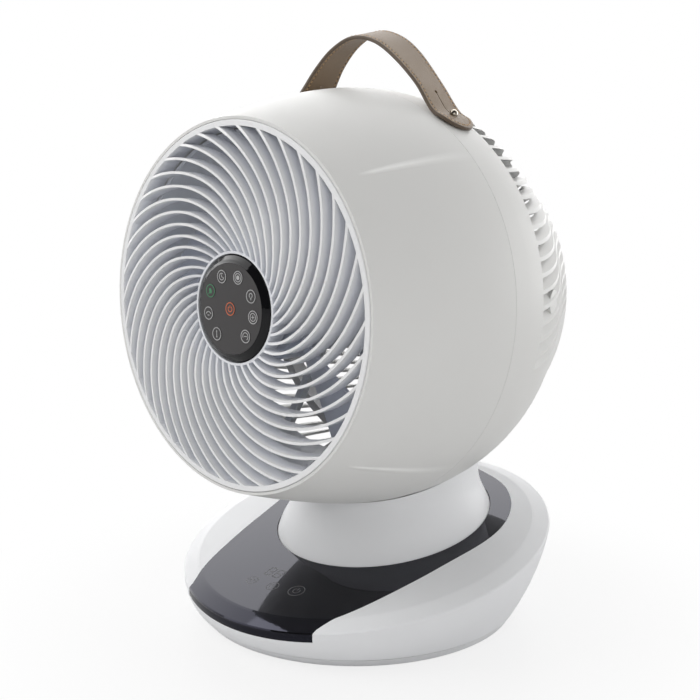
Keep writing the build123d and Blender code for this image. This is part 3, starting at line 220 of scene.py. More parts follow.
class Finish:
    """A procedural material around one Principled shader."""

    def __init__(self, name, colour, roughness, **values):
        self.material = bpy.data.materials.new(name)
        self.material.use_nodes = True
        self.tree = self.material.node_tree
        self.shader = self.tree.nodes["Principled BSDF"]
        self.colour = (*colour, 1.0)
        self.roughness = roughness
        for socket, value in values.items():
            self.shader.inputs[socket.replace("_", " ")].default_value = value

    def node(self, kind, inputs=None, **settings):
        return add_node(self.tree, "ShaderNode" + kind, inputs, **settings)

    def maths(self, operation, *values):
        """The output of a maths node."""
        return self.node("Math", dict(enumerate(values)), operation=operation).outputs[0]

    def feed(self, socket, output):
        """Link an output into a socket of the shader."""
        self.tree.links.new(output, self.shader.inputs[socket])

    def group(self, group, **inputs):
        named = {key.replace("_", " "): value for key, value in inputs.items()}
        node = add_node(self.tree, "ShaderNodeGroup", node_tree=group)
        for key, value in named.items():
            node.inputs[key].default_value = value
        return node

    def surface(self, **inputs):
        """Outputs of the moulded surface that the plastics share."""
        return self.group(shared_group("Moulded Surface", surface_group), **inputs).outputs

    def tone(self, mask, low, high):
        """Base colour that wanders between two strengths of the finish's own colour."""
        mix = self.node("Mix", data_type="RGBA")
        mix.inputs[6].default_value = scaled(self.colour, low)
        mix.inputs[7].default_value = scaled(self.colour, high)
        self.tree.links.new(mask, mix.inputs[0])
        self.feed("Base Color", mix.outputs[2])
        return mix.outputs[2]

    def gloss(self, mask, spread):
        """Roughness that wanders round the finish's own value."""
        span = self.node("MapRange", {"Value": mask, "To Min": max(0.0, self.roughness - spread),
                                      "To Max": self.roughness + spread})
        self.feed("Roughness", span.outputs[0])

    def relief(self, height, distance, under=None):
        """A bump, on top of another one if it is given."""
        bump = self.node("Bump", {"Height": height, "Distance": distance, "Strength": 1.0})
        if under is not None:
            self.tree.links.new(under, bump.inputs["Normal"])
        self.feed("Normal", bump.outputs[0])
        return bump.outputs[0]


def scaled(colour, factor):
    return tuple(min(1.0, channel * factor) for channel in colour[:3]) + (1.0,)


def new_group(name, inputs, outputs):
    """An empty shader node group with plain number sockets, and its input and output nodes."""
    group = bpy.data.node_groups.new(name, "ShaderNodeTree")
    for label, default in inputs.items():
        group.interface.new_socket(label, in_out="INPUT", socket_type="NodeSocketFloat").default_value = default
    for label in outputs:
        group.interface.new_socket(label, in_out="OUTPUT", socket_type="NodeSocketFloat")
    return group, group.nodes.new("NodeGroupInput"), group.nodes.new("NodeGroupOutput")


def noise(group, place, scale, detail, roughness=0.5, distortion=0.0):
    """Outputs of a noise texture."""
    return add_node(group, "ShaderNodeTexNoise", {"Vector": place, "Scale": scale, "Detail": detail,
                                                  "Roughness": roughness, "Distortion": distortion}).outputs


def surface_group():
    """Moulded surface: fine grain, slow clouding and soft marks of handling."""
    group, given, result = new_group("Moulded Surface", {"Grain Fineness": 1500.0, "Cloud Fineness": 14.0},
                                     ("Grain", "Cloud", "Marks"))
    place = add_node(group, "ShaderNodeTexCoord").outputs["Object"]
    grain = noise(group, place, given.outputs["Grain Fineness"], 3.0, 0.6)
    cloud = noise(group, place, given.outputs["Cloud Fineness"], 4.0, 0.55)
    marks = noise(group, place, 60.0, 5.0, 0.65, 1.2)
    edge = add_node(group, "ShaderNodeMapRange", {"Value": marks["Fac"], "From Min": 0.45, "From Max": 0.7})
    group.links.new(grain["Fac"], result.inputs["Grain"])
    group.links.new(cloud["Fac"], result.inputs["Cloud"])
    group.links.new(edge.outputs[0], result.inputs["Marks"])
    return group


def brushed_group():
    """Drawn metal: fine lines round the X or Z direction and a slow change of shade."""
    group, given, result = new_group("Brushed Lines", {"Line Fineness": 900.0, "Stretch": 0.04},
                                     ("Lines", "Shade"))
    place = add_node(group, "ShaderNodeTexCoord").outputs["Object"]
    split = add_node(group, "ShaderNodeSeparateXYZ", {"Vector": place})
    flat = add_node(group, "ShaderNodeMath", {0: split.outputs["Y"], 1: given.outputs["Stretch"]},
                    operation="MULTIPLY")
    join = add_node(group, "ShaderNodeCombineXYZ", {"X": split.outputs["X"], "Y": flat.outputs[0],
                                                    "Z": split.outputs["Z"]})
    lines = noise(group, join.outputs[0], given.outputs["Line Fineness"], 2.0)
    shade = noise(group, place, 70.0, 3.0)
    group.links.new(lines["Fac"], result.inputs["Lines"])
    group.links.new(shade["Fac"], result.inputs["Shade"])
    return group


def hide_group():
    """Leather: rounded pebbles with creases between them, pores and a slow change of shade."""
    group, given, result = new_group("Hide Grain", {"Pebble Fineness": 900.0, "Shade Fineness": 45.0},
                                     ("Pebble", "Pores", "Shade"))
    place = add_node(group, "ShaderNodeTexCoord").outputs["Object"]
    bend = noise(group, place, 300.0, 2.0)
    shift = add_node(group, "ShaderNodeVectorMath", {0: bend["Color"], 1: (0.0012, 0.0012, 0.0012)},
                     operation="MULTIPLY")
    moved = add_node(group, "ShaderNodeVectorMath", {0: place, 1: shift.outputs[0]}, operation="ADD")
    cells = add_node(group, "ShaderNodeTexVoronoi", {"Vector": moved.outputs[0],
                                                     "Scale": given.outputs["Pebble Fineness"]},
                     feature="DISTANCE_TO_EDGE")
    pebble = add_node(group, "ShaderNodeMapRange", {"Value": cells.outputs["Distance"], "From Max": 0.22},
                      interpolation_type="SMOOTHSTEP")
    pores = noise(group, place, 1400.0, 4.0, 0.7)
    shade = noise(group, place, given.outputs["Shade Fineness"], 5.0, 0.6)
    group.links.new(pebble.outputs[0], result.inputs["Pebble"])
    group.links.new(pores["Fac"], result.inputs["Pores"])
    group.links.new(shade["Fac"], result.inputs["Shade"])
    return group


def shared_group(name, maker):
    """One node group, made the first time that a material asks for it."""
    return bpy.data.node_groups.get(name) or maker()


# ================================================================ finishes

def moulded(name, colour, roughness, grain=0.00003, fineness=1500.0, **values):
    """Moulded plastic with a fine grain and a faint clouding of its colour."""
    finish = Finish(name, colour, roughness, **values)
    surface = finish.surface(Grain_Fineness=fineness)
    finish.tone(surface["Cloud"], 0.965, 1.02)
    finish.gloss(surface["Marks"], 0.035)
    finish.relief(surface["Grain"], grain)
    return finish.material


def creased_housing(name, colour, roughness, grain, width, spread, depth):
    """The front housing's plastic, with the soft creases that run forward from the seam and a painted highlight
    along them.
    """
    finish = Finish(name, colour, roughness, Specular_IOR_Level=SHELL_SHEEN)
    surface = finish.surface()
    plain = finish.tone(surface["Cloud"], 0.975, 1.015)
    finish.gloss(surface["Marks"], 0.03)
    split = finish.node("SeparateXYZ", {"Vector": finish.node("TexCoord").outputs["Object"]})
    side = finish.maths("ABSOLUTE", split.outputs["X"])
    up = finish.maths("SUBTRACT", split.outputs["Z"], HEAD_AXIS_Z)
    width = finish.node("MapRange", {"Value": split.outputs["Y"], "From Min": CREASE_FRONT_Y,
                                     "From Max": SEAM_Y, "To Min": width, "To Max": spread}).outputs[0]
    ridge = None
    for angle in CREASE_ANGLES:
        across = finish.maths("MULTIPLY", side, math.sin(angle))
        along = finish.maths("MULTIPLY", up, math.cos(angle))
        gap = finish.maths("ABSOLUTE", finish.maths("SUBTRACT", across, along))
        fold = finish.node("MapRange", {"Value": gap, "From Max": width, "To Min": 1.0,
                                        "To Max": 0.0}).outputs[0]
        ridge = fold if ridge is None else finish.maths("MAXIMUM", ridge, fold)
    tip = finish.node("MapRange", {"Value": split.outputs["Y"], "From Min": CREASE_FRONT_Y,
                                   "From Max": CREASE_FRONT_Y + CREASE_TIP}).outputs[0]
    end = finish.node("MapRange", {"Value": split.outputs["Y"], "From Min": CREASE_FRONT_Y + CREASE_FULL,
                                   "From Max": SEAM_Y, "To Min": 1.0, "To Max": 0.0}).outputs[0]
    height = finish.maths("MULTIPLY", ridge, finish.maths("MULTIPLY", tip, end))
    # painted highlight: the base colour is lightened towards CREASE_SHINE along the crease lines
    crease_highlight = finish.node("Mix", {0: height, 6: plain}, data_type="RGBA")
    crease_highlight.inputs[7].default_value = CREASE_SHINE
    finish.feed("Base Color", crease_highlight.outputs[2])
    folded = finish.relief(height, depth)
    finish.relief(surface["Grain"], grain, under=folded)
    return finish.material


def shaded_ribs(name, colour, shade, roughness, grain):
    """The grille's plastic, with painted shade that darkens and blues it deeper between its ribs."""
    finish = Finish(name, colour, roughness)
    surface = finish.surface()
    front = finish.tone(surface["Cloud"], 0.975, 1.02)
    finish.gloss(surface["Marks"], 0.03)
    finish.relief(surface["Grain"], grain)
    place = finish.node("TexCoord").outputs["Object"]
    depth = finish.node("SeparateXYZ", {"Vector": place}).outputs["Y"]
    share = finish.node("MapRange", {"Value": depth, "From Min": GRILLE_FRONT_Y + SHADE_START,
                                     "From Max": GRILLE_FRONT_Y + SHADE_END}).outputs[0]
    # painted shade: the colour turns to the rib shade with depth behind the grille's front
    mix = finish.node("Mix", {0: share, 6: front}, data_type="RGBA")
    mix.inputs[7].default_value = (*shade, 1.0)
    finish.feed("Base Color", mix.outputs[2])
    return finish.material


def glossy(name, colour, roughness, **values):
    """Polished plastic: faint smears in its gloss and a trace of waviness."""
    finish = Finish(name, colour, roughness, **values)
    surface = finish.surface(Grain_Fineness=260.0)
    finish.tone(surface["Cloud"], 0.9, 1.1)
    finish.gloss(surface["Marks"], 0.02)
    finish.relief(surface["Grain"], 0.000004)
    return finish.material


def metal(name, colour, roughness, fineness=900.0, stretch=0.04, depth=0.00001):
    """Bare or plated metal with drawn or turned lines."""
    finish = Finish(name, colour, roughness, Metallic=1.0)
    lines = finish.group(shared_group("Brushed Lines", brushed_group), Line_Fineness=fineness, Stretch=stretch)
    finish.tone(lines.outputs["Shade"], 0.85, 1.08)
    finish.gloss(lines.outputs["Lines"], 0.07)
    finish.relief(lines.outputs["Lines"], depth)
    return finish.material


def board(name, colour):
    """Circuit board: solder mask with copper runs showing through it."""
    finish = Finish(name, colour, 0.35)
    place = finish.node("TexCoord").outputs["Object"]
    runs = finish.node("TexBrick", {"Vector": place, "Scale": 160.0, "Mortar Size": 0.03,
                                    "Color1": scaled(finish.colour, 0.8), "Color2": scaled(finish.colour, 1.25),
                                    "Mortar": (0.30, 0.20, 0.05, 1.0)})
    finish.feed("Base Color", runs.outputs["Color"])
    finish.relief(runs.outputs["Fac"], 0.00004)
    return finish.material


def leather(name, colour, low=0.86, high=1.12):
    """Grained leather with creases, pores and a soft sheen."""
    finish = Finish(name, colour, 0.52, Sheen_Weight=0.06, Sheen_Roughness=0.5, Specular_IOR_Level=0.35)
    hide = finish.group(shared_group("Hide Grain", hide_group))
    finish.tone(hide.outputs["Shade"], low, high)
    finish.gloss(hide.outputs["Pebble"], 0.06)
    pores = finish.relief(hide.outputs["Pores"], 0.00005)
    finish.relief(hide.outputs["Pebble"], 0.00007, under=pores)
    return finish.material


def thread(name, colour):
    """Waxed sewing thread, its ply twisted round it."""
    finish = Finish(name, colour, 0.5, Sheen_Weight=0.2)
    place = finish.node("TexCoord").outputs["Object"]
    ply = finish.node("TexWave", {"Vector": place, "Scale": 900.0, "Distortion": 1.0},
                      bands_direction="DIAGONAL")
    finish.tone(ply.outputs["Fac"], 0.75, 1.15)
    finish.relief(ply.outputs["Fac"], 0.00004)
    return finish.material


def ink(name, colour, roughness=0.45, **values):
    """Screen-printed ink, a little uneven in its cover."""
    finish = Finish(name, colour, roughness, **values)
    surface = finish.surface(Grain_Fineness=4000.0, Cloud_Fineness=900.0)
    finish.tone(surface["Cloud"], 0.85, 1.1)
    finish.relief(surface["Grain"], 0.000005)
    return finish.material


def rubber(name, colour):
    """Matt rubber with a bloom on it."""
    finish = Finish(name, colour, 0.8)
    surface = finish.surface(Grain_Fineness=2500.0)
    finish.tone(surface["Marks"], 0.85, 1.4)
    finish.gloss(surface["Cloud"], 0.08)
    finish.relief(surface["Grain"], 0.00005)
    return finish.material


def dress(material, *nodes):
    """Give frame nodes a finish."""
    for name in nodes:
        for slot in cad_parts[name].material_slots:
            slot.material = material


# ================================================================ mesh helpers

def piece_from(name, mesh_data, materials, body, sharp=40.0):
    """A shown piece made of a bmesh, riding on a body."""
    mesh = bpy.data.meshes.new(name)
    mesh_data.to_mesh(mesh)
    mesh_data.free()
    for material in materials:
        mesh.materials.append(material)
    mesh.polygons.foreach_set("use_smooth", [True] * len(mesh.polygons))
    mesh.set_sharp_from_angle(angle=math.radians(sharp))
    piece = bpy.data.objects.new(name, mesh)
    bpy.context.scene.collection.objects.link(piece)
    if body:
        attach(piece, body)
    return piece


def catmull(points, steps=16):
    """Points of a smooth curve through the given ones, steps to each span."""
    first = [2 * points[0][k] - points[1][k] for k in range(2)]
    last = [2 * points[-1][k] - points[-2][k] for k in range(2)]
    held = [first, *points, last]
    out = []
    for i in range(1, len(held) - 2):
        for j in range(steps):
            t = j / steps
            out.append(tuple(
                0.5 * (2 * held[i][k] + (held[i + 1][k] - held[i - 1][k]) * t
                       + (2 * held[i - 1][k] - 5 * held[i][k] + 4 * held[i + 1][k] - held[i + 2][k]) * t * t
                       + (3 * held[i][k] - held[i - 1][k] - 3 * held[i + 1][k] + held[i + 2][k]) * t ** 3)
                for k in range(2)))
    out.append(tuple(points[-1]))
    return out


class StrapRun:
    """Carries the flat strap, length s, width t and height h, round its bent shape."""

    STEPS = 16

    def __init__(self):
        front = self.middle_line(STRAP_FRONT_CREST)
        back = self.middle_line(STRAP_BACK_CREST)
        self.front = [Vector((x * MM, STRAP_LOW.y, HEAD_AXIS_Z + z * MM)) for x, z in front]
        self.back = [Vector((x * MM, STRAP_HIGH.y, HEAD_AXIS_Z + z * MM)) for x, z in back]
        self.width = STRAP_HIGH.y - STRAP_LOW.y
        self.lengths = [0.0]
        for i in range(1, len(front)):
            step_front = (self.front[i] - self.front[i - 1]).length
            step_back = (self.back[i] - self.back[i - 1]).length
            self.lengths.append(self.lengths[-1] + (step_front + step_back) / 2)
        self.length = self.lengths[-1]
        ends = len(STRAP_TAIL_ANGLES) - 1
        shift = STRAP_SEAT_RADIUS * MM * math.radians(STUD_SHIFT)
        self.left_stud = self.lengths[ends * self.STEPS] - shift
        self.right_stud = self.lengths[(ends + 1 + len(STRAP_FRONT_CREST)) * self.STEPS] + shift

    def middle_line(self, crest):
        def on_head(angle):
            return (STRAP_SEAT_RADIUS * math.sin(math.radians(angle)),
                    STRAP_SEAT_RADIUS * math.cos(math.radians(angle)))
        return catmull([on_head(a) for a in STRAP_TAIL_ANGLES] + crest + [on_head(a) for a in STRAP_END_ANGLES],
                       self.STEPS)

    def place(self, line, s):
        s = min(max(s, 0.0), self.length)
        low, high = 0, len(self.lengths) - 1
        while high - low > 1:
            middle = (low + high) // 2
            low, high = (middle, high) if self.lengths[middle] <= s else (low, middle)
        share = (s - self.lengths[low]) / (self.lengths[high] - self.lengths[low])
        return line[low].lerp(line[high], share)

    def point(self, s, t, h):
        share = t / self.width
        reach = 1.5 * MM
        here = self.place(self.front, s).lerp(self.place(self.back, s), share)
        ahead = self.place(self.front, s + reach).lerp(self.place(self.back, s + reach), share)
        behind = self.place(self.front, s - reach).lerp(self.place(self.back, s - reach), share)
        across = self.place(self.back, s) - self.place(self.front, s)
        return here + (ahead - behind).cross(across).normalized() * h


def outline_point(run, inset, k, count):
    """Point k of count round the flat strap's outline moved in by inset, and its direction."""
    half = run.width / 2
    radius = max(half - inset, 0.0)
    straight = run.length - run.width
    turn = math.pi * half
    way = (k / count) * 2 * (straight + turn)
    if way < straight:
        return half + way, half + radius, 1.0, 0.0
    way -= straight
    if way < turn:
        a = math.pi / 2 - way / half
        return run.length - half + radius * math.cos(a), half + radius * math.sin(a), math.sin(a), -math.cos(a)
    way -= turn
    if way < straight:
        return run.length - half - way, half - radius, -1.0, 0.0
    a = -math.pi / 2 - (way - straight) / half
    return half + radius * math.cos(a), half + radius * math.sin(a), math.sin(a), -math.cos(a)


def flat_strap(run, look):
    """The strap as it is cut: a slab with rounded edges and a sewn channel, still flat."""
    half = look.thickness / 2
    seam = look.stitch_inset
    rings = [(0.0, 0.58), (0.2 * MM, 0.82), (0.6 * MM, 0.96), (1.3 * MM, 1.0), (seam - 0.7 * MM, 1.0),
             (seam - 0.35 * MM, 0.91), (seam, CHANNEL_FLOOR), (seam + 0.35 * MM, 0.91), (seam + 0.7 * MM, 1.0),
             (seam + 2 * MM, 1.04), (seam + 5 * MM, 1.06), (seam + 9 * MM, 1.06), (run.width / 2, 1.06)]
    count = 340
    slab = bmesh.new()
    loops = []
    for side in (1, -1):
        for inset, lift in rings:
            loop = []
            for k in range(count):
                s, t, _, _ = outline_point(run, inset, k, count)
                loop.append(slab.verts.new((s, t, side * half * lift)))
            loops.append(loop)
    top = loops[:len(rings)]
    low = loops[len(rings):]
    bands = [(low[0], top[0], 1)]
    for i in range(len(rings) - 1):
        # material 1 is the cut edge's paint; material 2 is painted shadow in the sewn channel
        painted = {0: 1, 1: 1, 5: 2, 6: 2}.get(i, 0)
        bands.append((top[i], top[i + 1], painted))
        bands.append((low[i + 1], low[i], painted))
    for outer, inner, paint in bands:
        for k in range(count):
            n = (k + 1) % count
            face = slab.faces.new((outer[k], outer[n], inner[n], inner[k]))
            face.material_index = paint
    bmesh.ops.remove_doubles(slab, verts=slab.verts, dist=0.02 * MM)
    bmesh.ops.recalc_face_normals(slab, faces=slab.faces)
    return slab


def prism(name, outline, height):
    """A cutter: an upright prism through z = 0."""
    shape = bmesh.new()
    low = [shape.verts.new((x, y, -height)) for x, y in outline]
    high = [shape.verts.new((x, y, height)) for x, y in outline]
    shape.faces.new(low[::-1])
    shape.faces.new(high)
    for k in range(len(outline)):
        n = (k + 1) % len(outline)
        shape.faces.new((low[k], low[n], high[n], high[k]))
    bmesh.ops.recalc_face_normals(shape, faces=shape.faces)
    mesh = bpy.data.meshes.new(name)
    shape.to_mesh(mesh)
    shape.free()
    cutter = bpy.data.objects.new(name, mesh)
    bpy.context.scene.collection.objects.link(cutter)
    return cutter


def circle(x, y, radius, count=28):
    return [(x + radius * math.cos(2 * math.pi * k / count), y + radius * math.sin(2 * math.pi * k / count))
            for k in range(count)]


def cut_keyholes(strap, run, look):
    """Cut each end's stud hole, the slit that opens it and the small hole that stops the slit."""
    middle = run.width / 2
    half = look.slit_width / 2
    cutters = []
    for stud, sign in ((run.left_stud, 1), (run.right_stud, -1)):
        far = stud + sign * look.slit_length
        near, end = sorted((stud, far))
        slit = [(near, middle - half), (end, middle - half), (end, middle + half), (near, middle + half)]
        cutters.append(prism("cut", slit, 5 * MM))
        cutters.append(prism("cut", circle(far, middle, look.hole_radius), 5 * MM))
        cutters.append(prism("cut", circle(stud, middle, look.stud_hole_radius), 5 * MM))
    for cutter in cutters:
        modifier = strap.modifiers.new("cut", "BOOLEAN")
        modifier.object = cutter
        modifier.operation = "DIFFERENCE"
        modifier.solver = "EXACT"
    graph = bpy.context.evaluated_depsgraph_get()
    cut = bpy.data.meshes.new_from_object(strap.evaluated_get(graph))
    strap.modifiers.clear()
    strap.data = cut
    for cutter in cutters:
        bpy.data.objects.remove(cutter)


def add_tube(mesh, rings):
    """A closed tube through rings of points."""
    loops = [[mesh.verts.new(p) for p in ring] for ring in rings]
    for a, b in zip(loops, loops[1:]):
        for k in range(len(a)):
            n = (k + 1) % len(a)
            mesh.faces.new((a[k], a[n], b[n], b[k]))
    mesh.faces.new(loops[0][::-1])
    mesh.faces.new(loops[-1])


def stitching(run, look):
    """Every stitch of the seam, on both faces of the strap."""
    seam = bmesh.new()
    around = 2 * (run.length - run.width) + math.pi * run.width
    total = int(around / look.stitch_pitch)
    fine = 4000
    swell = ((-0.5, 0.35, -0.3), (-0.36, 0.9, 0.2), (0.0, 1.0, 0.45), (0.36, 0.9, 0.2), (0.5, 0.35, -0.3))
    floor = look.thickness / 2 * CHANNEL_FLOOR
    for k in range(total):
        for side in (1, -1):
            rings = []
            for along, size, lift in swell:
                at = (k + along * look.stitch_length / look.stitch_pitch) / total * fine
                s, t, ds, dt = outline_point(run, look.stitch_inset + 0.12 * MM * along * side, at % fine, fine)
                centre = side * (floor + look.thread_radius * lift)
                ring = []
                for j in range(6):
                    a = 2 * math.pi * j / 6
                    off = look.thread_radius * size * math.cos(a)
                    ring.append(run.point(s - dt * off, t + ds * off,
                                          centre + look.thread_radius * size * math.sin(a)))
                rings.append(ring)
            add_tube(seam, rings)
    bmesh.ops.recalc_face_normals(seam, faces=seam.faces)
    return seam


# ================================================================ printed symbols

def arc(x, y, radius, first, last, count=24):
    """Points of an arc between two angles in degrees."""
    turn = [math.radians(first + (last - first) * k / count) for k in range(count + 1)]
    return [(x + radius * math.cos(a), y + radius * math.sin(a)) for a in turn]


def add_line(mesh, points, width, height, place, closed=False):
    """A printed line as a thin closed strip; place(a, b, h) puts a point of it in space."""
    count = len(points)
    stations = []
    for i, (x, y) in enumerate(points):
        xa, ya = points[(i - 1) % count] if closed or i > 0 else points[i]
        xb, yb = points[(i + 1) % count] if closed or i < count - 1 else points[i]
        size = math.hypot(xb - xa, yb - ya) or 1.0
        nx, ny = -(yb - ya) / size * width / 2, (xb - xa) / size * width / 2
        stations.append([mesh.verts.new(place(x + side * nx, y + side * ny, h))
                         for side, h in ((1, 0.0), (1, height), (-1, height), (-1, 0.0))])
    pairs = list(zip(stations, stations[1:]))
    if closed:
        pairs.append((stations[-1], stations[0]))
    for a, b in pairs:
        for k in range(4):
            n = (k + 1) % 4
            mesh.faces.new((a[k], a[n], b[n], b[k]))
    if not closed:
        mesh.faces.new(stations[0][::-1])
        mesh.faces.new(stations[-1])


def add_spot(mesh, points, height, place):
    """A printed solid shape."""
    low = [mesh.verts.new(place(x, y, 0.0)) for x, y in points]
    high = [mesh.verts.new(place(x, y, height)) for x, y in points]
    mesh.faces.new(low[::-1])
    mesh.faces.new(high)
    for k in range(len(points)):
        n = (k + 1) % len(points)
        mesh.faces.new((low[k], low[n], high[n], high[k]))


def power_sign():
    return [("line", arc(0, 0, 0.42, 125, 415)), ("line", [(0, 0.12), (0, 0.56)])]


def timer_sign():
    return [("line", arc(0, 0, 0.5, 60, 350)), ("line", [(0, 0.32), (0, 0), (0.24, -0.12)])]


def sleep_sign():
    return [("loop", arc(0, 0, 0.62, 0, 350, 23)), ("spot", arc(0, 0, 0.34, 0, 350, 23))]


def light_sign():
    return [("line", arc(0, 0.14, 0.32, -60, 240)), ("line", [(-0.14, -0.28), (0.14, -0.28)]),
            ("line", [(-0.1, -0.46), (0.1, -0.46)])]


def plus_sign():
    return [("loop", arc(0, 0, 0.58, 0, 350, 23)), ("line", [(-0.3, 0), (0.3, 0)]),
            ("line", [(0, -0.3), (0, 0.3)])]


def minus_sign():
    return [("line", arc(0, 0, 0.56, -60, 200)), ("line", [(-0.3, 0), (0.3, 0)])]


def arrow_head(x, y, angle, size=0.22):
    a = math.radians(angle)
    tip = (x + size * math.cos(a), y + size * math.sin(a))
    left = (x + size * 0.7 * math.cos(a + 2.2), y + size * 0.7 * math.sin(a + 2.2))
    right = (x + size * 0.7 * math.cos(a - 2.2), y + size * 0.7 * math.sin(a - 2.2))
    return ("spot", [tip, left, right])


def tilt_sign():
    return [("line", [(0, -0.34), (0, 0.34)]), arrow_head(0, 0.42, 90), arrow_head(0, -0.42, -90)]


def pan_sign():
    return [("line", arc(0, -0.28, 0.52, 30, 150)), arrow_head(0.47, 0.02, -40), arrow_head(-0.47, 0.02, 220),
            ("line", [(-0.22, -0.3), (0.22, -0.3)])]


def leaf_sign():
    blade = arc(-0.2, -0.08, 0.5, -35, 80, 10) + arc(0.2, 0.08, 0.5, 145, 260, 10)
    return [("spot", blade), ("line", [(-0.42, -0.5), (-0.1, -0.1)])]


def print_sign(mesh, sign, centre, look, place, radius, ring=True):
    """One symbol inside its ring, drawn round a centre."""
    x0, y0 = centre

    def moved(points):
        return [(x0 + x * radius, y0 + y * radius) for x, y in points]
    width = look.line_width
    if ring:
        rim = arc(x0, y0, radius - width / 2, 0, 352.5, 47)
        add_line(mesh, rim, width, look.print_height, place, closed=True)
    for kind, points in sign:
        if kind == "spot":
            add_spot(mesh, moved(points), look.print_height, place)
        else:
            add_line(mesh, moved(points), width, look.print_height, place, closed=kind == "loop")


KEY_SIGNS = {
    "key_power": (power_sign, "power"), "key_timer": (timer_sign, "plain"), "key_sleep": (sleep_sign, "plain"),
    "key_light": (light_sign, "plain"), "key_speed_up": (plus_sign, "plain"),
    "key_speed_down": (minus_sign, "plain"), "key_tilt_swing": (tilt_sign, "plain"),
    "key_pan_swing": (pan_sign, "plain"), "key_eco": (leaf_sign, "leaf"),
}


# touch symbols on the panel, each with its centre and radius, and the figures of its display, in millimetres
TOUCH_SIGNS = [(power_sign, (20.0, -97.0), 6.3), (timer_sign, (-0.5, -100.5), 4.9),
               (pan_sign, (-20.5, -101.5), 4.6)]
FIGURE_PLACES = (-17.0, -8.5)
FIGURE_Y = -86.0
FIGURE_WIDTH = 5.5
FIGURE_HEIGHT = 9.5
BAR_WIDTH = 0.9
BAR_GAP = 0.5


def panel_place(a, b, h):
    """A point on the panel's sloping face, h proud of it."""
    up = PANEL_RISE * MM + h
    return (a, RIM_Y * MM + b * math.cos(PANEL_SLOPE) - up * math.sin(PANEL_SLOPE),
            RIM_Z * MM + b * math.sin(PANEL_SLOPE) + up * math.cos(PANEL_SLOPE))


def seven_segments(mesh, centre, look, place):
    """One unlit figure of the display, all seven bars."""
    x, y = centre
    w, h = FIGURE_WIDTH * MM / 2, FIGURE_HEIGHT * MM / 2
    gap = BAR_GAP * MM
    bars = [((-w + gap, h), (w - gap, h)), ((-w + gap, 0), (w - gap, 0)), ((-w + gap, -h), (w - gap, -h))]
    bars += [((side * w, sign * gap), (side * w, sign * (h - gap))) for side in (-1, 1) for sign in (-1, 1)]
    for (xa, ya), (xb, yb) in bars:
        add_line(mesh, [(x + xa, y + ya), (x + xb, y + yb)], BAR_WIDTH * MM, look.print_height, place)


# ================================================================ operators

class FAN_OT_housings(bpy.types.Operator):
    """Finish the white mouldings of the head, neck and base."""
    bl_idname = "circulator.housings"
    bl_label = "Housings"

    def execute(self, context):
        look = context.scene.circulator_shell
        front = creased_housing("front_housing_white", look.colour, SHELL_ROUGHNESS, look.grain,
                                look.crease_width, look.crease_spread, look.crease_depth)
        dress(front, "front_housing")
        # the neck and base take the lighter base colour: painted light for their place in the head's shade
        for name, colour, nodes in (("housing_white", look.colour, ("rear_housing",)),
                                    ("base_white", look.base_colour, ("neck", "base_shell"))):
            dress(moulded(name, colour, SHELL_ROUGHNESS, look.grain, Specular_IOR_Level=SHELL_SHEEN), *nodes)
        dress(moulded("cover_white", scaled(look.base_colour, 0.92)[:3], 0.5, look.grain * 2), "base_cover")
        return {"FINISHED"}


class FAN_OT_air_path(bpy.types.Operator):
    """Finish the grille, duct, motor mount and impeller."""
    bl_idname = "circulator.air_path"
    bl_label = "Grille and air path"

    def execute(self, context):
        look = context.scene.circulator_shell
        dress(shaded_ribs("grille_white", look.grille_colour, look.rib_shade, 0.36, look.grain * 0.5),
              "front_grille")
        dress(moulded("inner_plastic", look.inner_colour, 0.5, look.grain), "duct_ring", "motor_mount")
        dress(moulded("blade_plastic", look.blade_colour, 0.35, look.grain * 0.5), "impeller")
        dress(moulded("nut_plastic", scaled(look.blade_colour, 0.85)[:3], 0.4, look.grain), "impeller_nut")
        return {"FINISHED"}


class FAN_OT_drives(bpy.types.Operator):
    """Finish the motors, shafts, gears, yoke and bearings."""
    bl_idname = "circulator.drives"
    bl_label = "Motors and drives"

    def execute(self, context):
        dress(metal("motor_case", (0.42, 0.43, 0.45), 0.38), "fan_motor")
        dress(metal("small_motor_can", (0.5, 0.5, 0.52), 0.3), "tilt_motor", "pan_motor")
        dress(metal("steel", (0.62, 0.61, 0.59), 0.22), "motor_shaft", "tilt_pins", "pan_spindle", "pan_clip",
              "tilt_bracket")
        dress(metal("cast_metal", (0.55, 0.55, 0.57), 0.5, fineness=350.0, stretch=1.0, depth=0.00005),
              "tilt_yoke", "turntable")
        acetal = moulded("gear_acetal", (0.80, 0.78, 0.70), 0.38, 0.00001)
        dress(acetal, "tilt_gear", "tilt_pinion", "pan_gear", "pan_pinion", "glide_ring")
        return {"FINISHED"}


class FAN_OT_fasteners(bpy.types.Operator):
    """Finish the screws, magnet and plates."""
    bl_idname = "circulator.fasteners"
    bl_label = "Fasteners"

    def execute(self, context):
        zinc = metal("zinc_screw", (0.55, 0.55, 0.54), 0.28, stretch=1.0)
        dress(zinc, "grille_screws", "mount_screws", "motor_screws", "gear_screws", "bracket_screws",
              "stem_screws", "turntable_screws", "cover_screws", "board_posts")
        dress(metal("magnet_nickel", (0.6, 0.58, 0.54), 0.2), "dock_magnet", "remote_plate", "remote_cell")
        dress(metal("ballast_steel", (0.14, 0.14, 0.15), 0.6, fineness=300.0, stretch=1.0, depth=0.0001),
              "ballast_plate")
        return {"FINISHED"}


class FAN_OT_base_fittings(bpy.types.Operator):
    """Finish the boards, the power inlet and the feet."""
    bl_idname = "circulator.base_fittings"
    bl_label = "Boards, inlet and feet"

    def execute(self, context):
        dress(board("board_green", (0.02, 0.16, 0.07)), "main_board", "panel_board", "remote_board")
        dress(moulded("jack_black", (0.02, 0.02, 0.02), 0.4), "dc_inlet")
        dress(rubber("foot_rubber", (0.03, 0.03, 0.03)), "rubber_feet")
        return {"FINISHED"}


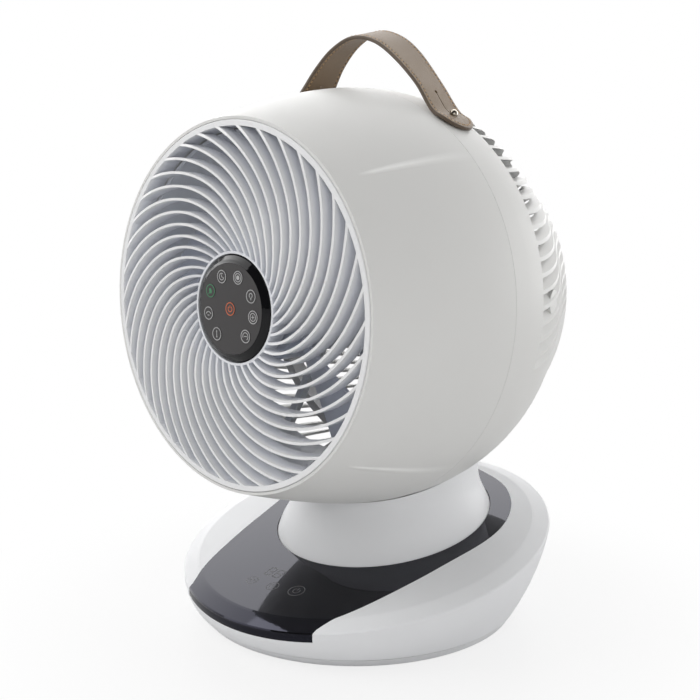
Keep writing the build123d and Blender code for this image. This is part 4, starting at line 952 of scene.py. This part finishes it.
class FAN_OT_remote(bpy.types.Operator):
    """Finish the remote and print the symbols on its keys."""
    bl_idname = "circulator.remote"
    bl_label = "Remote and keys"

    def execute(self, context):
        look = context.scene.circulator_controls
        dress(glossy("remote_black", look.gloss_colour, 0.06, IOR=1.36), "remote_case")
        dress(moulded("door_black", (0.012, 0.012, 0.012), 0.45), "cell_door")
        face = moulded("remote_charcoal", look.face_colour, 0.38, 0.000012, 2600.0)
        dress(face, "remote_face")
        dress(moulded("key_charcoal", look.face_colour, 0.34, 0.000012, 2600.0), *KEY_SIGNS)
        inks = {"plain": ink("ink_grey", look.print_colour), "power": ink("ink_orange", look.power_colour),
                "leaf": ink("ink_green", look.eco_colour)}
        for key, (sign, colour) in KEY_SIGNS.items():
            low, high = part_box(key)
            centre = ((low.x + high.x) / 2, (low.z + high.z) / 2)
            mesh = bmesh.new()
            print_sign(mesh, sign(), centre, look, lambda a, b, h: (a, KEY_FACE_Y - h, b), look.ring_radius)
            bmesh.ops.recalc_face_normals(mesh, faces=mesh.faces)
            piece_from("print_" + key, mesh, [inks[colour]], key)
        return {"FINISHED"}


class FAN_OT_panel(bpy.types.Operator):
    """Finish the black control panel and print the unlit symbols on it."""
    bl_idname = "circulator.panel"
    bl_label = "Control panel"

    def execute(self, context):
        look = context.scene.circulator_controls
        dress(glossy("panel_black", look.gloss_colour, 0.045, IOR=1.34, Specular_Tint=(0.70, 0.71, 1.0, 1.0)),
              "control_panel")
        dim = ink("ink_dim", look.dim_colour, 0.2)
        mesh = bmesh.new()
        for sign, (a, b), radius in TOUCH_SIGNS:
            print_sign(mesh, sign(), (a * MM, b * MM), look, panel_place, radius * MM)
        for a in FIGURE_PLACES:
            seven_segments(mesh, (a * MM, FIGURE_Y * MM), look, panel_place)
        bmesh.ops.recalc_face_normals(mesh, faces=mesh.faces)
        piece_from("print_panel", mesh, [dim], "base")
        return {"FINISHED"}


class FAN_OT_strap(bpy.types.Operator):
    """Cut, punch, bend and stitch the leather strap."""
    bl_idname = "circulator.strap"
    bl_label = "Leather strap"

    def execute(self, context):
        look = context.scene.circulator_strap
        run = StrapRun()
        hide = leather("strap_leather", look.colour)
        edge = leather("strap_edge", look.edge_colour, 0.9, 1.1)
        # painted shadow in the sewn channel
        channel = leather("strap_seam", look.seam_shadow_colour, 0.9, 1.1)
        strap = piece_from("strap_leather", flat_strap(run, look), [hide, edge, channel], None)
        cut_keyholes(strap, run, look)
        for vertex in strap.data.vertices:
            vertex.co = run.point(*vertex.co)
        strap.data.update()
        strap.data.set_sharp_from_angle(angle=math.radians(40))
        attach(strap, "head")
        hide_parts("strap_handle")
        twine = thread("strap_thread", look.thread_colour)
        piece_from("strap_stitching", stitching(run, look), [twine], "head")
        dress(metal("stud_steel", (0.42, 0.38, 0.32), 0.26, stretch=1.0, depth=0.000003), "strap_studs")
        return {"FINISHED"}


def aim(thing, place, target, roll=0.0):
    """Turn a lamp or camera at a place towards a target."""
    thing.location = place
    turn = (Vector(target) - Vector(place)).to_track_quat("-Z", "Y")
    thing.rotation_mode = "QUATERNION"
    thing.rotation_quaternion = turn @ Quaternion((0, 0, 1), math.radians(roll))


def mirrored(tree, path):
    """1 for the rays that a mirror or a lens sends, and 0 for the rest."""
    rays = {0: path.outputs["Is Glossy Ray"], 1: path.outputs["Is Transmission Ray"]}
    return add_node(tree, "ShaderNodeMath", rays, operation="MAXIMUM").outputs[0]


class FAN_OT_studio(bpy.types.Operator):
    """Lay the floor, hang the lamps and set the camera."""
    bl_idname = "circulator.studio"
    bl_label = "Studio"

    def execute(self, context):
        look = context.scene.circulator_studio
        self.lay_floor(look)
        self.light_world(context.scene, look)
        target = (0.0, 0.0, HEAD_AXIS_Z)
        for name, power, size, place in LAMPS:
            self.hang(name, getattr(look, power), size, place, target)
        camera = bpy.data.objects.new("camera", bpy.data.cameras.new("camera"))
        context.scene.collection.objects.link(camera)
        camera.data.lens = look.lens
        camera.data.clip_start = 0.01
        camera.data.clip_end = 60.0
        aim(camera, CAMERA_PLACE, CAMERA_TARGET, CAMERA_ROLL)
        context.scene.camera = camera
        context.scene.view_settings.view_transform = "Standard"
        return {"FINISHED"}

    def hang(self, name, power, size, place, target):
        lamp = bpy.data.lights.new(name, "AREA")
        lamp.energy = power
        lamp.size = size
        holder = bpy.data.objects.new(name, lamp)
        bpy.context.scene.collection.objects.link(holder)
        aim(holder, place, target)

    def lay_floor(self, look):
        grid = bmesh.new()
        bmesh.ops.create_grid(grid, x_segments=40, y_segments=40, size=look.floor_size / 2)
        finish = Finish("studio_floor", look.floor_colour, 0.55)
        surface = finish.surface(Grain_Fineness=400.0)
        finish.tone(surface["Cloud"], 0.985, 1.01)
        place = finish.node("TexCoord").outputs["Object"]
        radius = finish.node("VectorMath", {0: place}, operation="LENGTH").outputs["Value"]
        share = finish.node("MapRange", {"Value": radius, "From Min": look.shadow_reach * 0.35,
                                         "From Max": look.shadow_reach, "To Min": FLOOR_GLOW, "To Max": 1.0},
                            interpolation_type="SMOOTHSTEP").outputs[0]
        path = finish.node("LightPath")
        dimmed = finish.maths("MULTIPLY", mirrored(finish.tree, path), look.floor_mirror)
        seen = finish.maths("MAXIMUM", path.outputs["Is Camera Ray"], dimmed)
        factor = finish.maths("MULTIPLY", share, seen)
        glow = finish.node("Emission", {"Color": (1, 1, 1, 1), "Strength": 1.0})
        mix = finish.node("MixShader", {0: factor, 1: finish.shader.outputs[0], 2: glow.outputs[0]})
        output = finish.tree.nodes["Material Output"]
        finish.tree.links.new(mix.outputs[0], output.inputs["Surface"])
        piece_from("studio_floor", grid, [finish.material], None)

    def light_world(self, scene, look):
        """White to the camera, and otherwise a bright backdrop that fades to a dim room."""
        world = bpy.data.worlds.new("studio_world")
        world.use_nodes = True
        scene.world = world
        tree = world.node_tree
        path = add_node(tree, "ShaderNodeLightPath")
        way = add_node(tree, "ShaderNodeTexCoord").outputs["Generated"]
        facing = add_node(tree, "ShaderNodeVectorMath", {0: way, 1: BACKDROP_DIRECTION},
                          operation="DOT_PRODUCT").outputs["Value"]
        soft = self.spread(tree, facing, look.ambient, look.backdrop)
        mirror = self.spread(tree, facing, MIRROR_DIM, look.mirror)
        level = add_node(tree, "ShaderNodeMix", {0: mirrored(tree, path), 2: soft, 3: mirror}).outputs[0]
        level = add_node(tree, "ShaderNodeMix", {0: path.outputs["Is Camera Ray"], 2: level, 3: 1.0}).outputs[0]
        sky = tree.nodes["Background"]
        sky.inputs["Color"].default_value = (1, 1, 1, 1)
        tree.links.new(level, sky.inputs["Strength"])

    def spread(self, tree, facing, low, high):
        """A strength that rises towards the backdrop."""
        return add_node(tree, "ShaderNodeMapRange", {"Value": facing, "From Min": FADE_FROM,
                                                     "From Max": FADE_TO, "To Min": low, "To Max": high},
                        interpolation_type="SMOOTHSTEP").outputs[0]


OPERATORS = (FAN_OT_housings, FAN_OT_air_path, FAN_OT_drives, FAN_OT_fasteners, FAN_OT_base_fittings,
             FAN_OT_remote, FAN_OT_panel, FAN_OT_strap, FAN_OT_studio)
GROUPS = {"circulator_shell": FAN_PG_shell, "circulator_strap": FAN_PG_strap,
          "circulator_controls": FAN_PG_controls, "circulator_studio": FAN_PG_studio}


class FAN_PT_sidebar(bpy.types.Panel):
    """Lists the circulator's sizes, colours and steps."""
    bl_idname = "FAN_PT_sidebar"
    bl_label = "Air Circulator Fan"
    bl_space_type = "VIEW_3D"
    bl_region_type = "UI"
    bl_category = "Circulator"

    def draw(self, context):
        for operator in OPERATORS:
            self.layout.operator(operator.bl_idname)
        for name, group in GROUPS.items():
            box = self.layout.box()
            for field in group.__annotations__:
                box.prop(getattr(context.scene, name), field)


def register():
    for group in GROUPS.values():
        bpy.utils.register_class(group)
    for name, group in GROUPS.items():
        setattr(bpy.types.Scene, name, PointerProperty(type=group))
    for operator in OPERATORS:
        bpy.utils.register_class(operator)
    bpy.utils.register_class(FAN_PT_sidebar)


def unregister():
    bpy.utils.unregister_class(FAN_PT_sidebar)
    for operator in reversed(OPERATORS):
        bpy.utils.unregister_class(operator)
    for name, group in GROUPS.items():
        delattr(bpy.types.Scene, name)
        bpy.utils.unregister_class(group)


def main():
    register()
    bpy.ops.circulator.housings()
    bpy.ops.circulator.air_path()
    bpy.ops.circulator.drives()
    bpy.ops.circulator.fasteners()
    bpy.ops.circulator.base_fittings()
    bpy.ops.circulator.remote()
    bpy.ops.circulator.panel()
    bpy.ops.circulator.strap()
    bpy.ops.circulator.studio()


if __name__ == "__main__":
    main()
